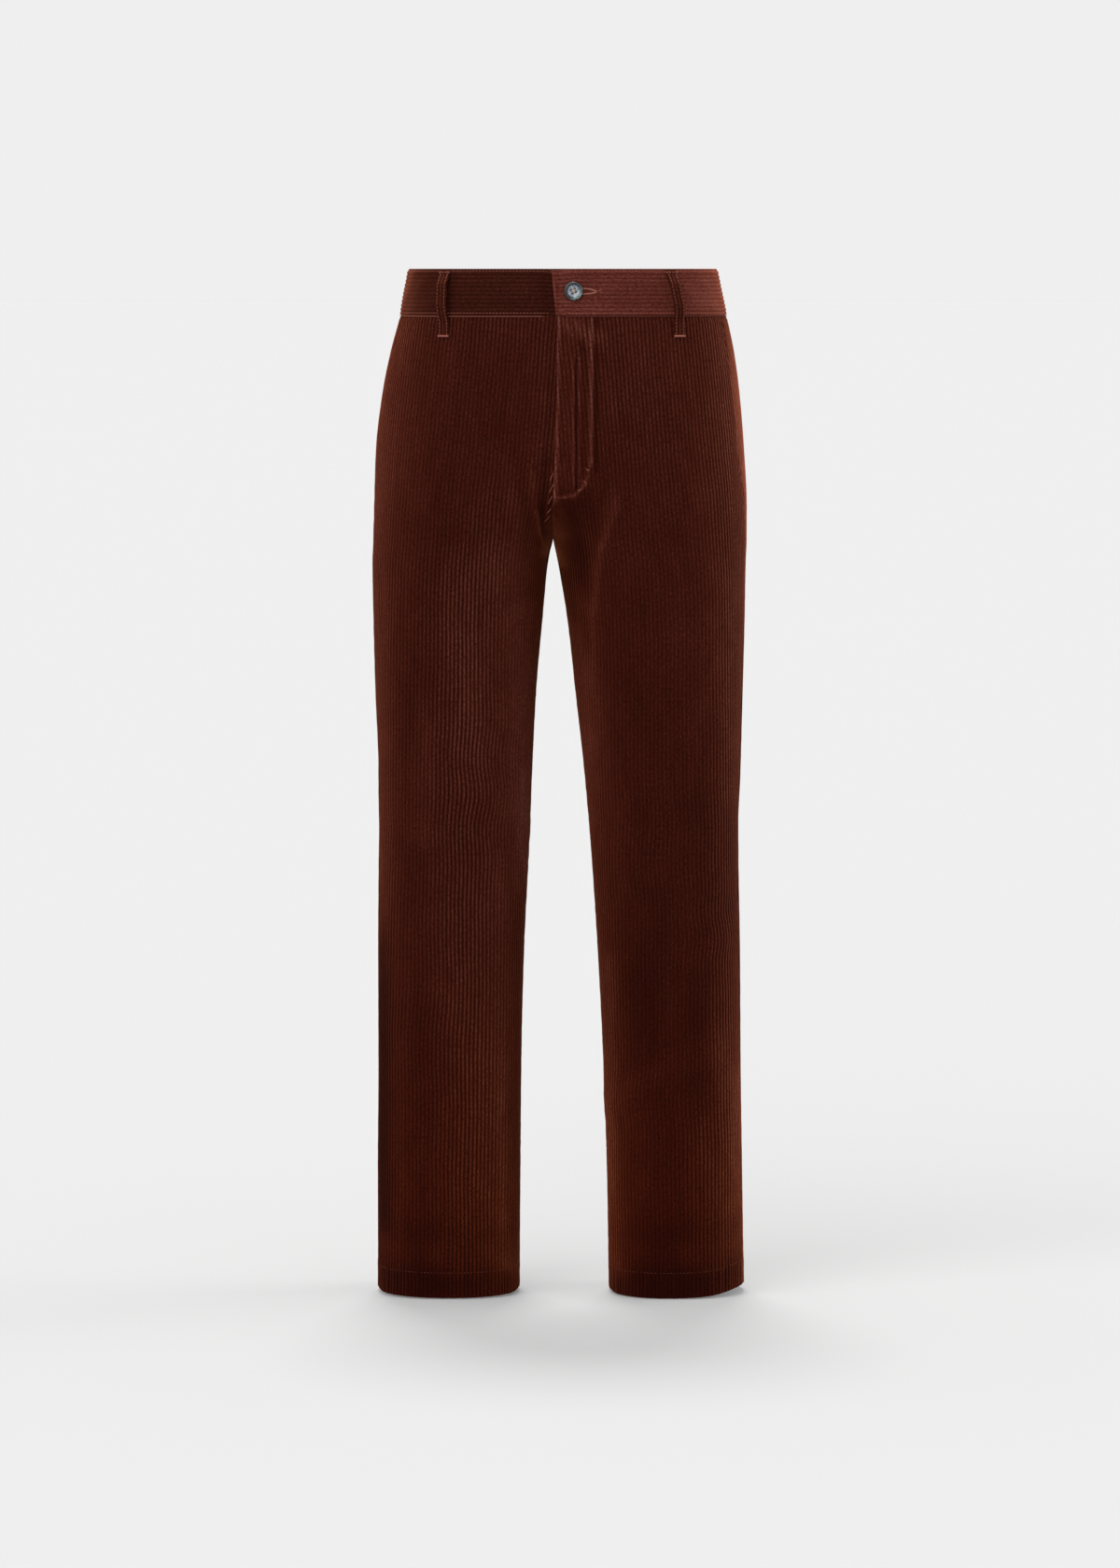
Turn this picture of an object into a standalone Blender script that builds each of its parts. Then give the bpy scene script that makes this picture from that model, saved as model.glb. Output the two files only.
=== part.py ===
"""Wide-wale corduroy trousers, filled out as on a figure and hollow inside.

Four leg panels, a waistband in two halves, five belt loops and a button, each a solid of its own.
Metres, +Z up. The origin is the middle of the waist's top edge, the front faces -Y, the wearer's left is +X.
The tables are in millimetres, everything else is in metres.
"""
import math
from collections import namedtuple

import bmesh
import bpy
import numpy as np

MM = 0.001
LEFT, RIGHT = 1, -1
FRONT, BACK = -1, 1
SIDE_NAMES = {LEFT: "left", RIGHT: "right"}
FACE_NAMES = {FRONT: "front", BACK: "back"}

# Cloth
SEAM_GAP = 0.0003  # left between neighbouring pieces
WALE_PITCH = 0.0041  # one cord and the groove beside it
WALE_RELIEF = 0.0009  # groove to crest, half of it each side of the middle surface
CLOTH_BACK = 0.0011  # groove to the plain inside
INSIDE = WALE_RELIEF / 2 + CLOTH_BACK

# Heights, from the waist's top edge down
WAIST_SEAM = -0.047
FLY_END = -0.232
CROTCH = -0.273
HEM_FOLD = -1.016
HEM = -1.040
HEM_TURNED = 0.0013  # the cloth turned up inside the hem adds this

# Plan of the garment at each height, in millimetres: how far out each leg reaches to either side, its inner
# edge below the crotch, the centre seams above it, the depth in front of and behind the middle, where the crown
# of each half lies between its inner edge (0) and its side (1), how far the side seams lie forward, and the
# grain line of the front and of the back.
COLUMNS = (
    "height", "right_outer", "right_inner", "left_inner", "left_outer", "centre_front", "centre_back",
    "front", "back", "middle", "crown", "right_seam", "left_seam", "front_grain", "back_grain",
)
SECTIONS = (
    (0, -155.0, None, None, 157.0, -5, 0, 100, 112, 0, 0.12, 34, 40, 80, 66),
    (-47, -163.5, None, None, 166.4, -5, 0, 104, 118, 0, 0.16, 34, 42, 85, 70),
    (-83, -173.0, None, None, 174.0, -5, -1, 107, 125, 0, 0.21, 33, 48, 88, 76),
    (-125, -181.5, None, None, 179.7, -5, -2, 109, 131, 0, 0.28, 30, 54, 92, 83),
    (-183, -188.3, None, None, 184.5, -7, -5, 109, 133, 0, 0.37, 24, 52, 97, 92),
    (-240, -190.2, None, None, 187.3, -9, -8, 105, 128, 0, 0.46, 20, 38, 102, 99),
    (-273, -191.1, -9.0, -9.0, 187.3, -9, -9, 101, 121, 0, 0.50, 20, 32, 104, 103),
    (-297, -192.0, -14.3, -3.8, 186.4, None, None, 98, 115, -1, 0.50, 20, 28, 106, 105),
    (-354, -191.1, -20.0, 5.7, 185.4, None, None, 92, 105, -3, 0.50, 20, 26, 108, 108),
    (-430, -189.2, -26.6, 14.3, 183.5, None, None, 85, 95, -4, 0.50, 20, 24, 109, 109),
    (-506, -186.4, -30.4, 22.8, 181.6, None, None, 79, 87, -4, 0.50, 20, 24, 110, 110),
    (-582, -186.4, -33.3, 29.5, 179.7, None, None, 75, 80, -2, 0.50, 20, 22, 111, 111),
    (-696, -187.3, -39.0, 37.1, 181.6, None, None, 70, 73, 2, 0.50, 20, 20, 113, 113),
    (-810, -187.3, -41.8, 42.8, 182.6, None, None, 67, 69, 5, 0.50, 20, 20, 114, 114),
    (-924, -188.3, -42.8, 46.6, 184.5, None, None, 65, 66, 8, 0.50, 20, 20, 115, 115),
    (-1040, -188.3, -43.7, 48.5, 186.4, None, None, 63, 65, 10, 0.50, 20, 20, 116, 116),
)
SHARES = ("crown",)  # columns that are plain shares and not millimetres
FULLNESS = {FRONT: 2.5, BACK: 2.25}  # power of the rounded plan: 2 is an ellipse, more is squarer
CROTCH_RADIUS = {FRONT: 0.065, BACK: 0.095}  # each centre seam's turn under the body
FLATTEST = 0.05  # the least that the plan closes by, at the waist

# Soft folds, in millimetres: a line across the front view from its upper to its lower end, how wide the fold
# is on either side of that line, and how far it stands out (or in, where negative)
FOLD_COLUMNS = ("side", "face", "x1", "z1", "x2", "z2", "width", "height")
FOLDS = (
    (LEFT, FRONT, 22, -235, 38, -390, 17, -3.2),
    (LEFT, FRONT, 52, -236, 30, -330, 12, 1.6),
    (RIGHT, FRONT, -24, -225, -17, -290, 14, -2.2),
    (RIGHT, FRONT, -150, -400, -148, -640, 16, -2.0),
    (RIGHT, FRONT, -66, -470, -52, -600, 14, -1.6),
    (LEFT, FRONT, 120, -790, 60, -840, 18, 1.6),
    (LEFT, BACK, 45, -250, 60, -380, 24, -3.5),
    (RIGHT, BACK, -60, -250, -72, -370, 24, -3.5),
    (LEFT, BACK, 150, -560, 90, -600, 20, -2.2),
    (RIGHT, BACK, -155, -575, -95, -610, 20, -2.2),
)
Fold = namedtuple("Fold", FOLD_COLUMNS)
FOLD_FADE = 0.5  # how much sooner than to its sides a fold fades past its ends

# Rows of the panels' solids
ROW_HEIGHTS = (-130, -218, -232, -258, -273, -300, -360, -450, -580, -760)
INSIDE_COLUMNS = {FRONT: 10, BACK: 12}
DENSE = 160  # points worked out along each quarter of a plan curve

# Fly: the left panel's edge lies over a strip of the right one
FLY_UNDERLAP = 0.012
FLY_STEP = 0.0028  # how far the strip lies below
FLY_EASE = 0.014  # how far from the edge the right panel starts to dip
FLY_RAMP = 0.0098  # and over how much of that it reaches the full step
FLY_FADE = 0.015  # the step runs out over this height below the fly's end

# Waistband
BAND_THICKNESS = 0.0030
BAND_PROUD = 0.0006  # its middle surface outside the panels'
BAND_INNER_EDGE = 0.0012  # how far below the top edge the inside starts
BAND_OUTER_EDGE = 0.00072  # how far below it the outside ends
BAND_COLUMNS = 17
BAND_LAP = {LEFT: (0.0055, 0.0012), RIGHT: (0.030, 0.030)}  # past the centre front, at the top and at the seam
BAND_STEP = 0.0040  # how far the right end lies below the left one
BAND_EASE = 0.020  # how far from the centre front it starts to dip
BAND_RAMP = 0.012  # and over how much of that it reaches the full step
BAND_DIP_SHARES = (1.0, 0.7, 0.4)  # of BAND_EASE, where the dip has columns of its own

# Belt loops: face, place across, and the strap itself
LOOPS = (
    ("loop_front_left", FRONT, 0.1135),
    ("loop_front_right", FRONT, -0.1165),
    ("loop_back_left", BACK, 0.1020),
    ("loop_back_right", BACK, -0.1020),
    ("loop_back_centre", BACK, 0.0),
)
LOOP_WIDTH = 0.0115
LOOP_THICKNESS = 0.0022
LOOP_SLACK = 0.0064
LOOP_STEP = 0.006  # the strap steps out from the panel to the band over this height
# Down the strap, in millimetres: height, and the share of the slack that it stands off by
LOOP_PATH = ((-1, 0), (-5, 0.1), (-10, 0.55), (-17, 1), (-34, 1), (-44, 0.6), (-51, 0.12), (-56, 0), (-67, 0))

# Button
BUTTON_CENTRE = (0.0116, -0.0220)  # across and up
BUTTON_STEPS = 20
# Half its outline, in millimetres, from the middle of its dished top over the rim to the middle of its back
BUTTON_PROFILE = (
    (0, 2.1), (4.4, 2.1), (6.3, 2.6), (7.3, 3.4), (8.4, 3.5),
    (9.2, 2.7), (9.2, 1.7), (7.8, 0.4), (0, 0.4),
)
BUTTON_HOLE_RADIUS = 0.0009
BUTTON_HOLE_SIDES = 8
BUTTON_HOLE_SPREAD = 0.0024
BUTTON_HOLE_TURN = math.radians(20)
BUTTON_SHANK = 0.0004
DRILL_LENGTH = 0.010

# Colours, linear
CORD_BROWN = (0.062, 0.013, 0.006, 1)
HORN_GREY = (0.020, 0.026, 0.032, 1)


def smooth_through(heights, values):
    """A smooth curve through a column's values that never swings past them."""
    heights = np.array(heights[::-1], float)
    values = np.array(values[::-1], float)
    rise = np.diff(values) / np.diff(heights)
    both = rise[:-1] * rise[1:]
    total = rise[:-1] + rise[1:]
    slope = np.empty(len(values))
    slope[0], slope[-1] = rise[0], rise[-1]
    slope[1:-1] = np.where(both > 0, 2 * both / np.where(both > 0, total, 1), 0)

    def at(height):
        span = int(np.clip(np.searchsorted(heights, height) - 1, 0, len(rise) - 1))
        width = heights[span + 1] - heights[span]
        t = min(max((height - heights[span]) / width, 0), 1)
        return (
            values[span] * (1 + 2 * t) * (1 - t) ** 2
            + values[span + 1] * t * t * (3 - 2 * t)
            + width * t * (1 - t) * (slope[span] * (1 - t) - slope[span + 1] * t)
        )

    return at


def read_columns():
    """Each column of the sections as a smooth function of height."""
    curves = {}
    for index, name in enumerate(COLUMNS[1:], start=1):
        rows = [row for row in SECTIONS if row[index] is not None]
        scale = 1 if name in SHARES else MM
        curves[name] = smooth_through([row[0] * MM for row in rows], [row[index] * scale for row in rows])
    return curves


SIZES = read_columns()
Line = namedtuple("Line", "along points normals length grain height")


def inner_edge(side, face, height):
    """Where a panel ends inwards: at a centre seam above the crotch and at the inseam below it."""
    if height >= CROTCH:
        return SIZES[f"centre_{FACE_NAMES[face]}"](height)
    return SIZES[f"{SIDE_NAMES[side]}_inner"](height)


def closing(face, height):
    """How far the plan curves back towards the other leg: fully from the crotch down, hardly at the waist."""
    rise = (height - CROTCH) / CROTCH_RADIUS[face]
    if rise <= 0:
        return 1.0
    depth = math.sqrt(1 - (1 - min(rise, 1)) ** 2)
    power = FULLNESS[face]
    return max((1 - depth**power) ** (1 / power), FLATTEST)


def quarter(start, end, power):
    """Shares along the two axes of a rounded quarter between two angles."""
    angle = np.linspace(start, end, DENSE)
    return np.abs(np.cos(angle)) ** (2 / power), np.abs(np.sin(angle)) ** (2 / power)


def plan_curve(side, face, height):
    """Plan points of a panel's middle surface, from its side seam to its inner edge."""
    outer = SIZES[f"{SIDE_NAMES[side]}_outer"](height)
    inner = inner_edge(side, face, height)
    crown = inner + (outer - inner) * SIZES["crown"](height)
    middle = SIZES["middle"](height)
    front = SIZES["front"](height)
    depth = SIZES[FACE_NAMES[face]](height)
    power = FULLNESS[face]
    seam = SIZES[f"{SIDE_NAMES[side]}_seam"](height)
    seam_angle = math.asin((seam / front) ** (FULLNESS[FRONT] / 2))
    runs = []
    if face == FRONT:
        across, back = quarter(seam_angle, math.pi / 2, power)
        runs.append((crown + (outer - crown) * across, middle - front * back))
    else:
        across, back = quarter(seam_angle, 0, FULLNESS[FRONT])
        runs.append((crown + (outer - crown) * across, middle - front * back))
        across, back = quarter(0, math.pi / 2, power)
        runs.append((crown + (outer - crown) * across, middle + depth * back))
    closed = closing(face, height)
    back, across = quarter(0, math.asin(closed ** (power / 2)), power)
    runs.append((crown + (inner - crown) * across / closed, middle + face * depth * back))
    points = [np.column_stack(run) for run in runs]
    return np.vstack([points[0]] + [run[1:] for run in points[1:]])


def cloth_line(side, face, height, beyond=0.0):
    """A panel's line at one height, with its outward directions and the place of its grain line."""
    points = plan_curve(side, face, height)
    if beyond > 0:
        onward = points[-1] - points[-2]
        points = np.vstack([points, points[-1] + onward / np.hypot(*onward) * beyond])
    along = np.concatenate(([0], np.cumsum(np.hypot(*np.diff(points, axis=0).T))))
    tangent = np.gradient(points, axis=0)
    tangent /= np.hypot(tangent[:, 0], tangent[:, 1])[:, None]
    normals = -side * face * np.column_stack((-tangent[:, 1], tangent[:, 0]))
    widest = int(np.argmax(side * points[:, 0]))
    grain_x = SIZES[f"{FACE_NAMES[face]}_grain"](height)
    grain = float(np.interp(-grain_x, -side * points[widest:, 0], along[widest:]))
    return Line(along, points, normals, along[-1] - beyond, grain, height)


def fold_depth(side, face, x, z):
    """How far the soft folds move the cloth in or out at a point of the front or back view."""
    total = np.zeros(len(x))
    for fold in (Fold(*row) for row in FOLDS):
        if (fold.side, fold.face) != (side, face):
            continue
        start = np.array((fold.x1, fold.z1)) * MM
        run = np.array((fold.x2, fold.z2)) * MM - start
        length = np.hypot(*run)
        share = ((x - start[0]) * run[0] + (z - start[1]) * run[1]) / length**2
        aside = ((x - start[0]) * run[1] - (z - start[1]) * run[0]) / length
        past = np.maximum(np.abs(share - 0.5) - 0.5, 0) * length
        total += fold.height * MM * np.exp(-(aside**2 + FOLD_FADE * past**2) / (fold.width * MM) ** 2)
    return total


def fly_dip(line):
    """How far the right front lies below the left one at its edge: all along the fly, gone below it."""
    return FLY_STEP * np.clip((line.height - FLY_END) / FLY_FADE + 1, 0, 1)


def eased(share):
    """0 to 1 and level at both ends."""
    share = np.clip(share, 0, 1)
    return share * share * (3 - 2 * share)


def on_cloth(side, face, line, places, offset):
    """Points at places along a line, moved out by an offset, the folds and the fly's step."""
    x = np.interp(places, line.along, line.points[:, 0])
    y = np.interp(places, line.along, line.points[:, 1])
    nx = np.interp(places, line.along, line.normals[:, 0])
    ny = np.interp(places, line.along, line.normals[:, 1])
    out = offset + fold_depth(side, face, x, line.height)
    if (side, face) == (RIGHT, FRONT):
        out = out - fly_dip(line) * eased((places - line.length + FLY_EASE) / FLY_RAMP)
    x, y = x + nx * out, y + ny * out
    if line.height < FLY_END:
        limit = inner_edge(side, face, max(line.height, CROTCH)) + side * SEAM_GAP / 2
        x = side * np.maximum(side * x, side * limit)
    return np.column_stack((x, y, np.full(len(x), line.height)))


def wale_places(start, end, grain):
    """Places of grooves and crests between two edges, and which of them are crests."""
    half = WALE_PITCH / 2
    first = math.ceil((start - grain) / half + 0.5)
    last = math.floor((end - grain) / half - 0.5)
    marks = np.arange(first, last + 1)
    places = np.concatenate(([start], grain + marks * half, [end]))
    crests = np.concatenate(([0], marks % 2, [0]))
    return places, crests


def even_places(line, start, end, count):
    """Places along a line, closer together where it bends."""
    turn = np.abs(np.diff(np.unwrap(np.arctan2(line.normals[:, 1], line.normals[:, 0]))))
    measure = np.concatenate(([0], np.cumsum(turn / math.pi + np.diff(line.along) / line.length)))
    ends = np.interp((start, end), line.along, measure)
    return np.interp(np.linspace(ends[0], ends[1], count + 1), measure, line.along)


class Shell:
    """A closed mesh put together from rows of points."""

    def __init__(self):
        self.mesh = bmesh.new()

    def row(self, points):
        return [self.mesh.verts.new(point) for point in points]

    def bridge(self, first, first_keys, second, second_keys):
        """Triangles between two rows of unlike length, whose keys say which points lie side by side."""
        i = j = 0
        while i < len(first) - 1 or j < len(second) - 1:
            second_done = j == len(second) - 1
            if second_done or (i < len(first) - 1 and first_keys[i + 1] <= second_keys[j + 1] + 1e-9):
                self.mesh.faces.new((first[i], first[i + 1], second[j]))
                i += 1
            else:
                self.mesh.faces.new((first[i], second[j + 1], second[j]))
                j += 1

    def finish(self, name, material):
        bmesh.ops.recalc_face_normals(self.mesh, faces=self.mesh.faces)
        data = bpy.data.meshes.new(name)
        self.mesh.to_mesh(data)
        self.mesh.free()
        return add_object(name, data, material)


def add_object(name, data, material):
    piece = bpy.data.objects.new(name, data)
    piece.data.materials.append(material)
    collection.objects.link(piece)
    return piece


def join_walls(shell, outside, inside):
    """Close a wall whose outside and inside are lists of (key down, vertices, keys across)."""
    for rows in (outside, inside):
        for upper, lower in zip(rows, rows[1:]):
            shell.bridge(upper[1], upper[2], lower[1], lower[2])
    for end in (0, -1):
        outer, inner = outside[end], inside[end]
        shell.bridge(outer[1], outer[2], inner[1], inner[2])
        shell.bridge(
            [row[1][end] for row in outside], [row[0] for row in outside],
            [row[1][end] for row in inside], [row[0] for row in inside],
        )


def panel_line(side, face, height):
    """A panel's line at one height and where its cloth ends along it: the right front runs on under the fly."""
    laps = (side, face) == (RIGHT, FRONT) and height > FLY_END + MM
    line = cloth_line(side, face, height, FLY_UNDERLAP if laps else 0.0)
    return line, line.along[-1] - (0 if laps else SEAM_GAP / 2)


def leg_panel(side, face):
    """A front or back panel: cords raised outside, plain inside, turned up at the hem."""
    shell = Shell()
    heights = [WAIST_SEAM - SEAM_GAP / 2] + [height * MM for height in ROW_HEIGHTS]
    turned = INSIDE + HEM_TURNED
    depths = [(height, INSIDE) for height in heights + [HEM_FOLD]]
    depths += [(HEM_FOLD - SEAM_GAP, turned), (HEM, turned)]
    outside, inside = [], []
    for height in heights + [HEM]:
        line, end = panel_line(side, face, height)
        places, crests = wale_places(SEAM_GAP / 2, end, line.grain)
        points = on_cloth(side, face, line, places, (crests - 0.5) * WALE_RELIEF)
        outside.append((-height, shell.row(points), places - line.grain))
    for height, depth in depths:
        line, end = panel_line(side, face, height)
        places = even_places(line, SEAM_GAP / 2, end, INSIDE_COLUMNS[face])
        points = on_cloth(side, face, line, places, -depth)
        inside.append((-height, shell.row(points), places - line.grain))
    join_walls(shell, outside, inside)
    return shell.finish(f"{FACE_NAMES[face]}_{SIDE_NAMES[side]}", corduroy)


def band_line(side, height, beyond):
    """The waist's line at one height, from the centre back round the side to the front end."""
    rear = plan_curve(side, BACK, height)[::-1]
    fore = plan_curve(side, FRONT, height)
    onward = fore[-1] - fore[-2]
    tip = fore[-1] + onward / np.hypot(*onward) * beyond
    points = np.vstack([rear, fore[1:], tip])
    along = np.concatenate(([0], np.cumsum(np.hypot(*np.diff(points, axis=0).T))))
    tangent = np.gradient(points, axis=0)
    tangent /= np.hypot(tangent[:, 0], tangent[:, 1])[:, None]
    normals = side * np.column_stack((-tangent[:, 1], tangent[:, 0]))
    return Line(along, points, normals, along[-1] - beyond, 0.0, height)


def band_profile():
    """The band's outside from its seam up to its rounded top: offset from its middle surface, and height."""
    low = WAIST_SEAM + SEAM_GAP / 2
    half = WALE_PITCH / 2
    marks = int((-BAND_INNER_EDGE - low) / half)
    profile = [(-WALE_RELIEF / 2, low)]
    for mark in range(1, marks):
        profile.append(((mark % 2 - 0.5) * WALE_RELIEF, low + mark * half))
    profile.append((-WALE_RELIEF / 2, -BAND_OUTER_EDGE))
    profile.append((-BAND_THICKNESS / 2, 0.0))
    return profile


def band_point(side, lines, place, offset, height):
    """A point of the band: `place` is its share of the way round, the lines are those at its top and seam."""
    share = height / WAIST_SEAM
    ends = []
    for line in lines:
        along = place * line.along[-1]
        spot = [np.interp(along, line.along, values) for values in (*line.points.T, *line.normals.T)]
        out = offset + BAND_PROUD
        if side == RIGHT:
            out -= BAND_STEP * eased((along - line.length + BAND_EASE) / BAND_RAMP)
        ends.append(np.array((spot[0] + spot[2] * out, spot[1] + spot[3] * out)))
    x, y = ends[0] * (1 - share) + ends[1] * share
    return x, y, height


def waistband(side):
    """One half of the waistband, its cords lying round the waist."""
    shell = Shell()
    top_lap, seam_lap = BAND_LAP[side]
    lines = (band_line(side, 0.0, top_lap), band_line(side, WAIST_SEAM, seam_lap))
    whole = lines[0].along[-1]
    places = list(even_places(lines[0], SEAM_GAP / 2, whole, BAND_COLUMNS) / whole)
    if side == RIGHT:
        before = (lines[0].length - BAND_EASE) / whole
        dip = [(lines[0].length - BAND_EASE * share) / whole for share in BAND_DIP_SHARES]
        places = [place for place in places if place < before] + dip + [lines[0].length / whole, 1.0]
    profile = band_profile()
    inner_profile = [(-BAND_THICKNESS, profile[0][1]), (-BAND_THICKNESS, -BAND_INNER_EDGE)]
    outside, inside = [], []
    for place in places:
        outer = [band_point(side, lines, place, offset, height) for offset, height in profile]
        inner = [band_point(side, lines, place, offset, height) for offset, height in inner_profile]
        outside.append((place, shell.row(outer), [height for _, height in profile]))
        inside.append((place, shell.row(inner), [height for _, height in inner_profile]))
    join_walls(shell, outside, inside)
    return shell.finish(f"waistband_{SIDE_NAMES[side]}", corduroy)


def waist_spot(face, x, height):
    """The middle surface's plan point and outward direction at a place on the waist."""
    side = LEFT if x >= inner_edge(LEFT, face, height) else RIGHT
    line = cloth_line(side, face, height)
    widest = int(np.argmax(side * line.points[:, 0]))
    place = float(np.interp(-side * x, -side * line.points[widest:, 0], line.along[widest:]))
    x, y = (np.interp(place, line.along, values) for values in line.points.T)
    nx, ny = (np.interp(place, line.along, values) for values in line.normals.T)
    size = math.hypot(nx, ny)
    return np.array((x, y)), np.array((nx, ny)) / size


def belt_loop(name, face, x):
    """A strap that lies on the panel below the band, stands off the band and is sewn down at its top edge."""
    shell = Shell()
    sections = []
    for height, slack in LOOP_PATH:
        spot, out = waist_spot(face, x, height * MM)
        across = np.array((-out[1], out[0]))
        proud = BAND_PROUD * float(np.clip((height * MM - WAIST_SEAM) / LOOP_STEP + 1, 0, 1))
        base = WALE_RELIEF / 2 + proud + SEAM_GAP + slack * LOOP_SLACK
        corners = []
        for aside, rise in ((-1, 0), (-1, 1), (1, 1), (1, 0)):
            plan = spot + across * aside * LOOP_WIDTH / 2 + out * (base + rise * LOOP_THICKNESS)
            corners.append((plan[0], plan[1], height * MM))
        sections.append(shell.row(corners))
    for upper, lower in zip(sections, sections[1:]):
        for i in range(4):
            j = (i + 1) % 4
            shell.mesh.faces.new((upper[i], upper[j], lower[j], lower[i]))
    shell.mesh.faces.new(sections[0])
    shell.mesh.faces.new(sections[-1])
    return shell.finish(name, corduroy)


def button():
    """A dished disc with a raised rim and four holes, sewn to the band's front end."""
    data = bpy.data.meshes.new("button")
    points = [(radius * MM, 0, height * MM) for radius, height in BUTTON_PROFILE]
    data.from_pydata(points, [(i, i + 1) for i in range(len(points) - 1)], [])
    piece = add_object("button", data, horn)
    turned = piece.modifiers.new("turned", "SCREW")
    turned.steps = turned.render_steps = BUTTON_STEPS
    turned.use_merge_vertices = True
    turned.merge_threshold = 0.00001
    turned.use_smooth_shade = False
    for corner in range(4):
        angle = BUTTON_HOLE_TURN + (corner + 0.5) * math.pi / 2
        bpy.ops.mesh.primitive_cylinder_add(
            vertices=BUTTON_HOLE_SIDES, radius=BUTTON_HOLE_RADIUS, depth=DRILL_LENGTH,
            location=(math.cos(angle) * BUTTON_HOLE_SPREAD, math.sin(angle) * BUTTON_HOLE_SPREAD, 0),
        )
        drill = bpy.context.active_object
        drill.name = f"drill_{corner}"
        drill.hide_render = True
        drill.display_type = "WIRE"
        for old in list(drill.users_collection):
            old.objects.unlink(drill)
        cutters.objects.link(drill)
        drill.parent = piece
        hole = piece.modifiers.new(f"hole_{corner}", "BOOLEAN")
        hole.operation = "DIFFERENCE"
        hole.solver = "EXACT"
        hole.object = drill
    x, z = BUTTON_CENTRE
    spot, out = waist_spot(FRONT, x, z)
    stand = BAND_PROUD + WALE_RELIEF / 2 + BUTTON_SHANK
    piece.location = (spot[0] + out[0] * stand, spot[1] + out[1] * stand, z)
    piece.rotation_euler = (math.pi / 2, 0, math.atan2(out[1], out[0]) + math.pi / 2)
    return piece


def plain_material(name, colour, roughness):
    material = bpy.data.materials.new(name)
    material.use_nodes = True
    shader = material.node_tree.nodes["Principled BSDF"]
    shader.inputs["Base Color"].default_value = colour
    shader.inputs["Roughness"].default_value = roughness
    shader.inputs["Metallic"].default_value = 0.0
    return material


for old_object in list(bpy.data.objects):
    bpy.data.objects.remove(old_object)
collection = bpy.data.collections.new("corduroy_trousers")
cutters = bpy.data.collections.new("cutters")
bpy.context.scene.collection.children.link(collection)
bpy.context.scene.collection.children.link(cutters)
corduroy = plain_material("corduroy", CORD_BROWN, 0.95)
horn = plain_material("horn", HORN_GREY, 0.35)

for panel_side in (LEFT, RIGHT):
    for panel_face in (FRONT, BACK):
        leg_panel(panel_side, panel_face)
    waistband(panel_side)
for loop_name, loop_face, loop_x in LOOPS:
    belt_loop(loop_name, loop_face, loop_x)
button()
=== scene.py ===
"""Looks of the wide-wale corduroy trousers: shells of cloth with raised cords, sewing, button and studio.

Each shell follows the sections of its solid, which are repeated here, so it lies where the solid lies.
Lengths are in metres unless a table says millimetres. Left and right are the wearer's, the front faces -Y.
"""
import math
from collections import namedtuple

import bmesh
import bpy
import numpy as np
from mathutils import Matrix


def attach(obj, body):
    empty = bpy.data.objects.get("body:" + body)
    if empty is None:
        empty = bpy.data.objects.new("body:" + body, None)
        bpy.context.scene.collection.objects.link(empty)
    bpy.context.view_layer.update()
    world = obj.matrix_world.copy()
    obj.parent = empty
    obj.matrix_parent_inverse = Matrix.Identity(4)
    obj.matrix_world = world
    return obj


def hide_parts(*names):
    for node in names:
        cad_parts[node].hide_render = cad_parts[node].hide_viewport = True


MM = 0.001
TURN = 2 * math.pi
LEFT, RIGHT = 1, -1
FRONT, BACK = -1, 1
SIDE_NAMES = {LEFT: "left", RIGHT: "right"}
FACE_NAMES = {FRONT: "front", BACK: "back"}

# ---------------------------------------------------------------- sizes that the solids have too
SEAM_GAP = 0.0003
WALE_PITCH = 0.0041
WALE_RELIEF = 0.0009
INSIDE = 0.00155
WAIST_SEAM = -0.047
FLY_END = -0.232
CROTCH = -0.273
HEM_FOLD = -1.016
HEM = -1.040
HEM_TURNED = 0.0013

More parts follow.
